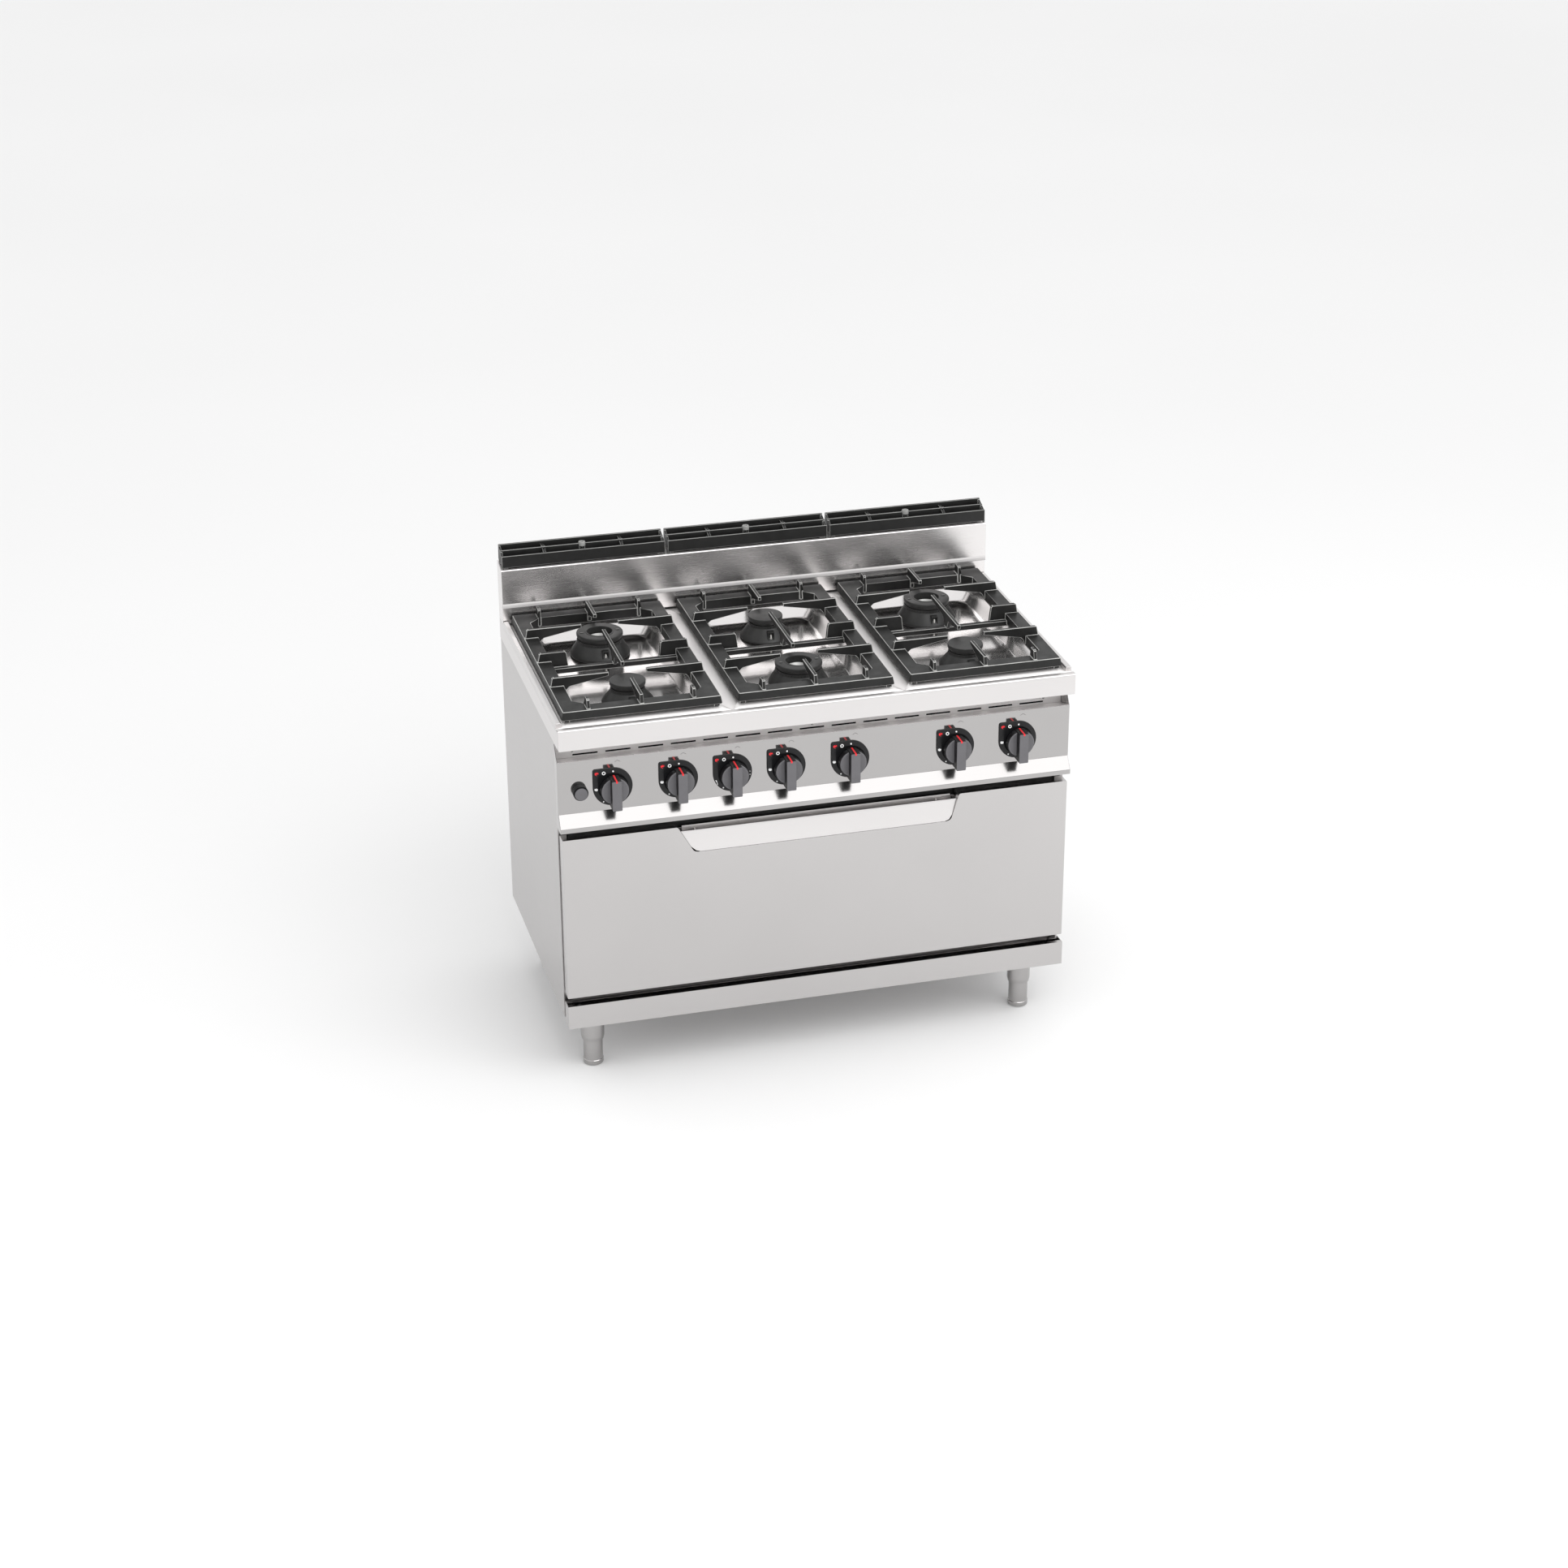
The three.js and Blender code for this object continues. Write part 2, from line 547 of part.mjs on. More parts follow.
// Grate pieces are drawn about the module's centre, in the body's own Y.
function grateFrame() {
  const draft = 3.75;
  const ring = roundedRectangle(GRATE.halfX, GRATE.halfY, 6);
  const height = GRATE.top - GRATE.lip;
  const block = new THREE.ExtrudeGeometry(ring, {
    depth: 1, bevelEnabled: true, bevelThickness: height - 1, bevelSize: draft, bevelOffset: -draft,
    bevelSegments: 1, curveSegments: 2,
  });
  const above = box(
    [-GRATE.halfX, GRATE.halfX],
    [GRATE.y - GRATE.halfY, GRATE.y + GRATE.halfY],
    [GRATE.lip, GRATE.top],
  );
  const upper = solid(block.translate(0, GRATE.y, GRATE.lip)).intersect(above);
  const rib = 5;
  const opening = (spread, z) => {
    const halfX = INNER_X + spread;
    const halfY = INNER_Y + spread;
    const chamfer = 26;
    const corners = [
      [halfX - chamfer, -halfY], [halfX, chamfer - halfY], [halfX, halfY - chamfer],
      [halfX - chamfer, halfY], [chamfer - halfX, halfY], [-halfX, halfY - chamfer],
      [-halfX, chamfer - halfY], [chamfer - halfX, -halfY],
    ];
    return alongZ(outline(corners.map(([x, y]) => [x, y + GRATE.y])), z);
  };
  const ribRing = opening(rib, [GRATE.lip - 5, GRATE.top - 1]);
  const padAt = (x, y) => box([x - 7, x + 7], [y - 7, y + 7], [GRATE_FEET_Z, GRATE.lip + 1]);
  const padX = GRATE.halfX - 12;
  const padY = GRATE.halfY - 12;
  const pads = [-padX, padX].flatMap((x) => [-padY, padY].map((y) => padAt(x, GRATE.y + y)));
  return cut(join(upper, ribRing, ...pads), opening(0, [GRATE.lip - 6, GRATE.top + 1]));
}

const BAR = { front: -22, back: -10, top: 909, bottom: 896 };

function grateFingers() {
  const top = GRATE.fingerTop;
  const frameTop = GRATE.top - 1;
  const half = FINGER / 2;
  const parts = [];
  for (const sign of [-1, 1]) {
    const mirrored = (points) => points.map(([x, z]) => [sign * x, z]);
    const longFinger = mirrored([
      [43.5, top], [170, top], [173, top - 2], [177, frameTop], [INNER_X + 2, frameTop], [INNER_X + 2, 904],
      [INNER_X - 3, 904], [INNER_X - 6, 914], [INNER_X - 14, 921], [43.5, top - 8.5],
    ]);
    for (const y of [144, -154]) {
      parts.push(alongY(longFinger, [y - half, y + half]));
    }
    const shortRib = mirrored([
      [114, top], [170, top], [173, top - 2], [177, frameTop], [INNER_X + 2, frameTop],
      [INNER_X + 2, BAR.top - 4], [106, BAR.top - 4], [110, top - 4],
    ]);
    parts.push(alongY(shortRib, [-7 - half, -7 + half]));
  }
  parts.push(box([-INNER_X - 2, INNER_X + 2], [BAR.front, BAR.back], [BAR.bottom, BAR.top]));
  const bridge = [
    [-105, top - 10], [-36, top - 17], [-26, BAR.top - 2], [-8, BAR.top - 2], [4, top - 17], [99, top - 10],
    [99, top], [-105, top],
  ];
  parts.push(alongX(bridge, [-half, half]));
  const frontEdge = GRATE.y - GRATE.halfY;
  const rearEdge = GRATE.y + GRATE.halfY;
  const endFinger = (edge, inward, reach) => {
    const outer = edge + inward * 6;
    const tip = edge + inward * reach;
    const inner = edge + inward * GRATE.band;
    return [
      [outer, frameTop], [outer + inward * 6, top - 1], [outer + inward * 8, top], [tip, top],
      [tip, top - 8.5], [inner + inward * 14, 922], [inner + inward * 4, 916], [inner + inward * 3, 904],
      [inner - inward * 2, 904], [inner - inward * 2, frameTop],
    ];
  };
  parts.push(alongX(endFinger(frontEdge, 1, 109), [-half, half]));
  parts.push(alongX(endFinger(rearEdge, -1, 103), [-half, half]));
  const post = (edge, inward) => {
    const outer = edge + inward * 8;
    const inner = edge + inward * (GRATE.band + 3);
    return [
      [outer, frameTop], [outer + inward * 5, top - 2], [outer + inward * 8, top], [inner - inward * 5, top],
      [inner - inward * 2, top - 3], [inner, 904], [inner - inward * 5, 904], [inner - inward * 5, frameTop],
    ];
  };
  for (const x of [-120, 120]) {
    parts.push(alongX(post(frontEdge, 1), [x - 3.5, x + 3.5]));
    parts.push(alongX(post(rearEdge, -1), [x - 3.5, x + 3.5]));
  }
  return parts;
}

// ---------- splashback and flue ----------
const SPLASH = { face: 300, foot: HOB_HEIGHT + FIT, recess: HOB_REAR + FIT, top: 1036.5 };
const SPLASH_LIP = { y: 298, bottom: 939.5, top: 949.5 };
const SPLASH_ROUND = 3.5;
const FLUE_OPENING = { half: 180, front: 307, rear: 343 };

// Height of the splashback's sloping top.
function splashTop(y) {
  const start = SPLASH.face + SPLASH_ROUND;
  return SPLASH.top + ((y - start) * (BACK_HEIGHT - SPLASH.top)) / (BACK - start);
}

function splashback() {
  const { face, foot, recess, top } = SPLASH;
  const lip = SPLASH_LIP;
  const skin = [
    [recess, foot], [recess, lip.bottom], [lip.y + 1.5, lip.bottom], [lip.y, lip.bottom + 1.5],
    [lip.y, lip.top - 2], [face, lip.top + 1], [face, top - SPLASH_ROUND], [face + 1, top - 1],
    [face + SPLASH_ROUND, top], [BACK, BACK_HEIGHT], [BACK, foot],
  ];
  const hollow = [
    [recess + SHEET, foot - 1], [recess + SHEET, lip.bottom + SHEET], [lip.y + 2, lip.bottom + SHEET + 1],
    [lip.y + SHEET, lip.top - 2.5], [face + SHEET, lip.top + 1.5], [face + SHEET, top - SPLASH_ROUND],
    [face + SPLASH_ROUND, top - SHEET - 0.25], [BACK - SHEET, splashTop(BACK - SHEET) - SHEET - 0.25],
    [BACK - SHEET, foot - 1],
  ];
  const openings = MODULES.map((x) => box(
    [x - FLUE_OPENING.half, x + FLUE_OPENING.half],
    [FLUE_OPENING.front, FLUE_OPENING.rear],
    [top - 3, BACK_HEIGHT + 1],
  ));
  return cut(alongX(skin, [-SIDE, SIDE]), alongX(hollow, [SHEET - SIDE, SIDE - SHEET]), ...openings);
}

const GRILLE = { half: 196.5, bars: [303.5, 324, 345], firstTop: 1070, rise: 8, bar: 5, tieX: 93, screw: 7 };

// Three upright bars on edge, each higher than the one before it, between two end plates.
function flueGrille() {
  const { half, bars, firstTop, rise, bar, tieX, screw } = GRILLE;
  const seatAt = (y) => splashTop(y) + FIT;
  const topOf = (i) => firstTop + i * rise;
  const lift = 4;
  const parts = bars.map((y, i) => (
    box([-half, half], [y - bar / 2, y + bar / 2], [seatAt(y + bar / 2) + lift, topOf(i)])
  ));
  const [front, middle, rear] = bars;
  const endPlate = [
    [front, seatAt(rear) + lift], [front, topOf(0) - 3], [rear, topOf(2) - 3], [rear, seatAt(rear) + lift],
  ];
  for (const x of [-half, half - bar]) {
    parts.push(alongX(endPlate, [x, x + bar]));
    for (const y of [front, rear]) {
      const edge = y + bar / 2 - 0.5;
      parts.push(box([x, x + bar], [edge - 4, edge], [seatAt(edge), seatAt(edge) + 2 * lift]));
    }
  }
  for (const x of [-tieX, tieX]) {
    parts.push(box([x - 4, x + 4], [front, rear], [topOf(0) - 20, topOf(0) - 6]));
  }
  parts.push(rod(screw, [seatAt(middle) + 2 * lift, topOf(1) + 0.5]).translate([0, middle, 0]));
  return join(...parts);
}

// ---------- oven ----------
const HINGE_X = { arm: 562, eye: 570, end: 584 };
const HINGE_PIN = 5;
const FLUE = { half: 150, throatBottom: 480, throatTop: 560, front: 306, rear: 345, top: 940, wall: 1.5 };

const RUNNERS_Z = [330, 395, 460];
const RUNNER = 4;                     // height of a rack runner

function ovenCavity() {
  const { half, front, back, floor, top, wall } = CAVITY;
  const shell = cut(
    box([-half - wall, half + wall], [front, back + wall], [floor - wall, top + wall]),
    box([-half, half], [front - 1, back], [floor, top]),
  );
  const plateHalf = BODY_SIDE - SIDE_FLANGE - 3.75;
  const throughPlate = [front - 1, front + wall + 1];
  const facePlate = cut(
    box([-plateHalf, plateHalf], [front, front + wall], [PLINTH.top + 6, PANEL_BOTTOM - 2]),
    box([-half, half], throughPlate, [floor, top]),
    ...[-1, 1].map((sign) => box(
      bothWays(sign, HINGE_X.arm - 2.5, HINGE_X.arm + 5.5),
      throughPlate,
      [PLINTH.top, DOOR_PIVOT.z + 30],
    )),
  );
  const margin = 10;
  const flueWindow = box(
    [margin - FLUE.half, FLUE.half - margin],
    [back - 1, back + wall + 1],
    [FLUE.throatBottom + margin, FLUE.throatTop - margin],
  );
  const burnerWindow = box([-440, 440], [-230, 200], [floor - wall - 1, floor + 1]);
  const runners = [-1, 1].flatMap((sign) => RUNNERS_Z.map((z) => box(
    bothWays(sign, half - 8, half + 1),
    [front + 12, back - margin],
    [z, z + RUNNER],
  )));
  return join(cut(shell, flueWindow, burnerWindow), facePlate, ...runners);
}

function ovenFloorPlate() {
  const { floor } = CAVITY;
  const plate = box([-470, 470], [-265, 235], [floor + FIT, floor + 5]);
  const vents = [-1, 1].flatMap((sign) => [-150, 0, 150].map((y) => box(
    [sign * 420 - 8, sign * 420 + 8], [y - 50, y + 50], [floor - 1, floor + 6],
  )));
  return cut(plate, ...vents);
}

const RACK = { half: 496, front: -272, back: 236, z: RUNNERS_Z[1] + RUNNER + FIT, wire: 6, wires: 16 };

function ovenRack() {
  const { half, front, back, z, wire, wires } = RACK;
  const span = 2 * (half - wire / 2);
  const crossbars = [front, (front + back) / 2, back - wire];
  const parts = crossbars.map((y) => box([-half, half], [y, y + wire], [z, z + wire]));
  for (let i = 0; i < wires; i += 1) {
    const x = -half + (span * i) / (wires - 1);
    parts.push(box([x, x + wire / 2], [front + 1, back - 1], [z + 1, z + wire - 1]));
  }
  return join(...parts);
}

function ovenBurner() {
  const { z, tube, end, front, rear } = OVEN_BURNER;
  const bar = (y) => facingRight(rod(tube, [-end, end])).translate([0, y, z]);
  const header = facingFront(rod(tube + 3, [-rear - 32, 32 - front])).translate([-end, 0, z]);
  return join(bar(front), bar(rear), header);
}

function flueDuct() {
  const { half, throatBottom, throatTop, front, rear, top, wall } = FLUE;
  const start = CAVITY.back + CAVITY.wall + FIT;
  const outer = join(
    box([-half, half], [front, rear], [throatBottom, top]),
    box([-half, half], [start, rear], [throatBottom, throatTop]),
  );
  const inner = join(
    box([wall - half, half - wall], [front + wall, rear - wall], [throatBottom + wall, top + 1]),
    box([wall - half, half - wall], [start - 1, rear - wall], [throatBottom + wall, throatTop - wall]),
  );
  return cut(outer, inner);
}

// ---------- oven door ----------
const gripEdge = (side, z) => side.foot + side.slope * (z - GRIP.bottom);

// The tapered notch in the door's skin that the grip fills, smaller by the given margin. Its right
// side stands steeper than its left.
function gripNotch(margin) {
  const bottom = GRIP.bottom + margin;
  const { corner } = GRIP;
  const halfNotch = (side) => [
    [gripEdge(side, bottom) - margin - corner, bottom],
    [gripEdge(side, bottom) - margin - corner / 4, bottom + corner / 4],
    [gripEdge(side, bottom + corner) - margin, bottom + corner],
    [gripEdge(side, DOOR_TOP + 10) - margin, DOOR_TOP + 10],
  ];
  const left = halfNotch(GRIP.left).map(([x, z]) => [-x, z]);
  return [...halfNotch(GRIP.right), ...left.reverse()];
}

function hingeSlots([y0, y1], top) {
  return [-1, 1].map((sign) => box(
    bothWays(sign, HINGE_X.arm - 4, HINGE_X.end + 4),
    [y0, y1],
    [DOOR_BOTTOM - 1, top],
  ));
}

function doorOuterPanel() {
  const returnBack = DOOR_BACK - 1;
  const skin = cut(
    box([-DOOR_SIDE, DOOR_SIDE], [DOOR_FACE, returnBack], [DOOR_BOTTOM, DOOR_TOP]),
    box(
      [SHEET - DOOR_SIDE, DOOR_SIDE - SHEET],
      [DOOR_FACE + SHEET, 0],
      [DOOR_BOTTOM + SHEET, DOOR_TOP - SHEET],
    ),
  );
  const notch = alongY(gripNotch(0), [DOOR_FACE - 1, returnBack + 1]);
  return cut(skin, notch, ...hingeSlots([DOOR_FACE + SHEET + 2, returnBack + 1], DOOR_BOTTOM + SHEET + 1));
}

function doorInnerPanel() {
  const inset = SHEET + FIT;
  const half = DOOR_SIDE - inset;
  const bottom = DOOR_BOTTOM + inset;
  const front = DOOR_FACE + SHEET + 1;
  const top = DOOR_TOP - inset;
  const pan = cut(
    box([-half, half], [front, DOOR_BACK], [bottom, top]),
    box([SHEET - half, half - SHEET], [front - 1, DOOR_BACK - SHEET], [bottom + SHEET, top - SHEET]),
  );
  const gripRoom = box([-340, 340], [front - 1, DOOR_BACK + 1], [GRIP.top - 2, DOOR_TOP + 1]);
  const eyeReach = 8;
  const eyes = [-1, 1].map((sign) => box(
    bothWays(sign, HINGE_X.eye, HINGE_X.end + 9),
    [DOOR_PIVOT.y - eyeReach, DOOR_BACK],
    [bottom, DOOR_PIVOT.z + eyeReach],
  ));
  const pinBore = rod(HINGE_PIN + FIT, [-HINGE_X.end - 1, HINGE_X.end + 1]);
  const bore = facingRight(pinBore).translate([0, DOOR_PIVOT.y, DOOR_PIVOT.z]);
  return cut(join(cut(pan, gripRoom, ...hingeSlots([front - 1, 0], DOOR_PIVOT.z + 20)), ...eyes), bore);
}

function doorHinge(sign) {
  const { y, z } = DOOR_PIVOT;
  const armX = bothWays(sign, HINGE_X.arm, HINGE_X.arm + 3);
  const foot = -287;
  const arm = alongX([
    [foot, z - 20], [foot, z + 18], [y + 4, z + 8], [y - 5, z + 6],
    [y - 8, z], [y - 5, z - 7], [y + 4, z - 8],
  ], armX);
  const pin = facingRight(rod(HINGE_PIN, bothWays(sign, HINGE_X.arm, HINGE_X.end))).translate([0, y, z]);
  const footX = bothWays(sign, HINGE_X.arm - 12, HINGE_X.arm + 11);
  const base = box(footX, [CAVITY.front + CAVITY.wall + FIT, foot + 2], [z - 22, z + 24]);
  return join(arm, pin, base);
}

// A folded plate that closes the notch: it leans back a little, rolls over at the top, comes down
// behind and turns in to the door's inner panel, which leaves a trough for the fingers, open above.
function doorGrip() {
  const lean = 6;
  const sheet = 1.5;
  const faceBottom = DOOR_FACE + 0.3;
  const troughFloor = GRIP.top - 40;
  const troughBack = DOOR_BACK - SHEET - FIT;
  const profile = [
    [faceBottom, GRIP.bottom - 5], [faceBottom + lean, GRIP.top - 4], [faceBottom + lean + 1, GRIP.top - 1],
    [faceBottom + lean + 3, GRIP.top], [faceBottom + lean + 5, GRIP.top - 1],
    [faceBottom + lean + 6, GRIP.top - 4],
    [faceBottom + lean + 4, troughFloor], [troughBack, troughFloor],
  ];
  const folded = alongX(bentSheet(profile, -sheet), [-400, 400]);
  const trimmed = folded.intersect(alongY(gripNotch(GRIP.gap), [DOOR_FACE, DOOR_BACK]));
  const ends = [-1, 1].map((sign) => {
    const x = sign * 286;
    return box([x - 1, x + 1], [faceBottom + lean + 4, troughBack], [troughFloor - 1, GRIP.top - 6]);
  });
  return join(trimmed, ...ends);
}

function doorGasket() {
  const { half, floor, top, front } = CAVITY;
  const width = 8;
  const outer = width + 4;
  const depth = [DOOR_BACK + 0.4, front - FIT];
  const ring = (spread) => box([-half - spread, half + spread], depth, [floor - spread, top + spread]);
  const hole = box([-half - 4, half + 4], [-310, 0], [floor - 4, top + 4]);
  return cut(ring(outer), hole);
}

// ---------- assembly ----------
place('left_side_panel', sidePanel(-1), STEEL);
place('right_side_panel', sidePanel(1), STEEL);
place('back_panel', backPanel(), STEEL);
place('base_frame', baseFrame(), STEEL);
place('plinth_panel', plinthPanel(), STEEL);
for (const [name, x, y] of FEET) {
  place(`foot_${name}`, adjustableFoot(), LEG_STEEL, [x, y, 0]);
}

place('control_panel', controlPanel(), STEEL);
place('vent_rail', ventRail(), STEEL);
for (const [i, x] of KNOB_X.entries()) {
  place(`valve_stem_${i + 1}`, valveStem(), ZINC, [x, PANEL_FACE, KNOB_Z]);
  place(`knob_${i + 1}`, knob(), PLASTIC, [x, PANEL_FACE, KNOB_Z]);
}
place('igniter_collar', igniterCollar(), PLASTIC, [IGNITER.x, PANEL_FACE, IGNITER.z]);
place('igniter_button', igniterButton(), PLASTIC, [IGNITER.x, PANEL_FACE, IGNITER.z]);

place('gas_manifold', gasManifold(), BRASS);
place('gas_inlet', gasInlet(), ZINC);

place('hob_top', hobTop(), POLISHED);
for (const { name, x, y, form } of BURNERS) {
  const isRing = form === RING_BURNER;
  place(`burner_base_${name}`, isRing ? ringBurnerBase() : capBurnerBase(), BLACK_IRON, [x, y, 0]);
  place(`burner_cap_${name}`, isRing ? ringBurnerCrown() : capBurnerCap(), BLACK_IRON, [x, y, 0]);
}

const MODULE_NAMES = ['left', 'centre', 'right'];
const grate = join(grateFrame(), ...grateFingers());
for (const [i, x] of MODULES.entries()) {
  place(`grate_${MODULE_NAMES[i]}`, grate, CAST_IRON, [x, 0, 0]);
  place(`flue_grille_${MODULE_NAMES[i]}`, flueGrille(), BLACK_IRON, [x, 0, 0]);
}
place('splashback', splashback(), STEEL);

place('oven_cavity', ovenCavity(), ENAMEL);
place('oven_floor_plate', ovenFloorPlate(), BLACK_IRON);
place('oven_rack', ovenRack(), BRIGHT_WIRE);
place('oven_burner', ovenBurner(), ZINC);
place('flue_duct', flueDuct(), ZINC);

place('door_outer_panel', doorOuterPanel(), STEEL);
place('door_inner_panel', doorInnerPanel(), STEEL);
place('door_grip', doorGrip(), POLISHED);
place('door_hinge_left', doorHinge(-1), ZINC);
place('door_hinge_right', doorHinge(1), ZINC);
place('door_gasket', doorGasket(), GASKET);

export default range;
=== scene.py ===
"""Looks for the commercial gas range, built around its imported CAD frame. All sizes are in metres.

X runs to the right, Y to the back and Z up from the floor. Places come from the frame's own boxes.
"""
import math

import bmesh
import bpy
from mathutils import Matrix, Vector


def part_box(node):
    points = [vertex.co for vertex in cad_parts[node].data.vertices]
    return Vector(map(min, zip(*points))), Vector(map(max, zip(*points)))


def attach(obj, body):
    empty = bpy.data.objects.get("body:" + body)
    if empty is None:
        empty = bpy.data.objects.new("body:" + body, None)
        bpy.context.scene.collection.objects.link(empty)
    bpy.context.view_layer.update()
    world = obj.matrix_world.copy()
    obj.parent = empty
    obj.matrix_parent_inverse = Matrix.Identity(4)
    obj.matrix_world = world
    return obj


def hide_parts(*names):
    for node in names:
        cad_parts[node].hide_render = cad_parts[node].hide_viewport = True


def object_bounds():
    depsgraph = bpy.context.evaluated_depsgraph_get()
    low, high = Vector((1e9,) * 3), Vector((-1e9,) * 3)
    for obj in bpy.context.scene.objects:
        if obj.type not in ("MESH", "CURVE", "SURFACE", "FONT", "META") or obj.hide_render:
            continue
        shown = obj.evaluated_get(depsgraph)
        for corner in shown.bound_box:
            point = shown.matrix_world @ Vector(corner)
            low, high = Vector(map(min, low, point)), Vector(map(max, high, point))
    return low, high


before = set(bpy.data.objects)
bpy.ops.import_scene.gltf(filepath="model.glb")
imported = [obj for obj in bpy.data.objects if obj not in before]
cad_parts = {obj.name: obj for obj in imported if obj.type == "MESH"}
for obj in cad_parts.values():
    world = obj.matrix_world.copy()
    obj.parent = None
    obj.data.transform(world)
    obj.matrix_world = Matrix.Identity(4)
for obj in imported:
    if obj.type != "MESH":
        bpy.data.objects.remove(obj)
CAD_LOW, CAD_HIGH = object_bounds()
BODY = "range_body"
FIT = 0.00025                         # clearance that the CAD leaves between touching pieces
MODULES = ("left", "centre", "right")
KNOBS = [f"knob_{i}" for i in range(1, 8)]
THERMOSTAT = "knob_3"
LEG_CORNERS = ("front_left", "front_right", "rear_left", "rear_right")


# ---------- materials ----------
class Surface:
    """A procedural material around one Principled shader, with its noise in the object's own metres."""

    def __init__(self, name, color, roughness, metallic=0.0):
        self.material = bpy.data.materials.new(name)
        self.material.use_nodes = True
        self.tree = self.material.node_tree
        self.shader = self.tree.nodes["Principled BSDF"]
        self.color = color
        self.roughness = roughness
        self.shader.inputs["Base Color"].default_value = (*color, 1)
        self.shader.inputs["Roughness"].default_value = roughness
        self.shader.inputs["Metallic"].default_value = metallic

    def noise(self, scale, detail=3.0, stretch=(1, 1, 1)):
        place = self.tree.nodes.new("ShaderNodeTexCoord")
        mapping = self.tree.nodes.new("ShaderNodeMapping")
        mapping.inputs["Scale"].default_value = stretch
        texture = self.tree.nodes.new("ShaderNodeTexNoise")
        texture.inputs["Scale"].default_value = scale
        texture.inputs["Detail"].default_value = detail
        self.tree.links.new(place.outputs["Object"], mapping.inputs["Vector"])
        self.tree.links.new(mapping.outputs["Vector"], texture.inputs["Vector"])
        return texture.outputs["Fac"]

    def spread(self, value, low, high):
        """Maps the middle of a noise value to a span of numbers."""
        node = self.tree.nodes.new("ShaderNodeMapRange")
        node.inputs["From Min"].default_value = 0.3
        node.inputs["From Max"].default_value = 0.7
        node.inputs["To Min"].default_value = low
        node.inputs["To Max"].default_value = high
        self.tree.links.new(value, node.inputs["Value"])
        return node.outputs["Result"]

    def mottled(self, value, amount):
        """Varies the colour's lightness by an amount up and down."""
        mix = self.tree.nodes.new("ShaderNodeMix")
        mix.data_type = "RGBA"
        mix.inputs["A"].default_value = (*[c * (1 - amount) for c in self.color], 1)
        mix.inputs["B"].default_value = (*[min(1, c * (1 + amount)) for c in self.color], 1)
        self.tree.links.new(self.spread(value, 0, 1), mix.inputs["Factor"])
        self.tree.links.new(mix.outputs["Result"], self.shader.inputs["Base Color"])
        return self

    def uneven(self, value, amount):
        """Varies the roughness by an amount up and down."""
        result = self.spread(value, self.roughness - amount, self.roughness + amount)
        self.tree.links.new(result, self.shader.inputs["Roughness"])
        return self

    def bumped(self, value, height, strength=1.0):
        bump = self.tree.nodes.new("ShaderNodeBump")
        bump.inputs["Distance"].default_value = height
        bump.inputs["Strength"].default_value = strength
        self.tree.links.new(value, bump.inputs["Height"])
        self.tree.links.new(bump.outputs["Normal"], self.shader.inputs["Normal"])
        return self


ALONG_X = (0.02, 1, 1)
ALONG_Y = (1, 0.02, 1)


def steel(name, lightness, roughness, grain, relief=0.000004, metallic=1.0):
    """Stainless sheet with a fine grain that runs one way and a faint cloudiness."""
    surface = Surface(name, (lightness, lightness * 0.975, lightness * 0.968), roughness, metallic)
    surface.mottled(surface.noise(3.0, 2.0), 0.015)
    fine = surface.noise(900.0, 2.0, grain)
    surface.uneven(fine, roughness * 0.06)
    return surface.bumped(fine, relief).material


def cast(name, lightness, roughness, grain_height, gloss=0.35):
    """Enamelled cast iron: a pebbled skin with patches of more and less gloss."""
    surface = Surface(name, (lightness, lightness, lightness * 0.97), roughness)
    surface.shader.inputs["Specular IOR Level"].default_value = gloss
    surface.mottled(surface.noise(55.0, 4.0), 0.16)
    surface.uneven(surface.noise(30.0, 3.0), 0.07)
    return surface.bumped(surface.noise(700.0, 3.0), grain_height).material


def moulded(name, color, roughness, gloss=0.5):
    """Moulded plastic with a very fine grain."""
    surface = Surface(name, color, roughness)
    surface.shader.inputs["Specular IOR Level"].default_value = gloss
    surface.mottled(surface.noise(40.0, 2.0), 0.05)
    surface.uneven(surface.noise(120.0, 2.0), 0.04)
    return surface.bumped(surface.noise(2500.0, 2.0), 0.00001).material


def metal(name, color, roughness, cloud):
    """Plated or drawn metal with soft patches of tone."""
    surface = Surface(name, color, roughness, metallic=1.0)
    surface.mottled(surface.noise(25.0, 4.0), cloud)
    return surface.uneven(surface.noise(60.0, 3.0), 0.06).material


def paint(name, color):
    """Printed marks on the knobs and their plates."""
    surface = Surface(name, color, 0.4)
    return surface.mottled(surface.noise(200.0, 2.0), 0.04).material


def rubber(name):
    surface = Surface(name, (0.02, 0.02, 0.02), 0.85)
    surface.mottled(surface.noise(80.0, 3.0), 0.2)
    return surface.bumped(surface.noise(1500.0, 2.0), 0.00004).material


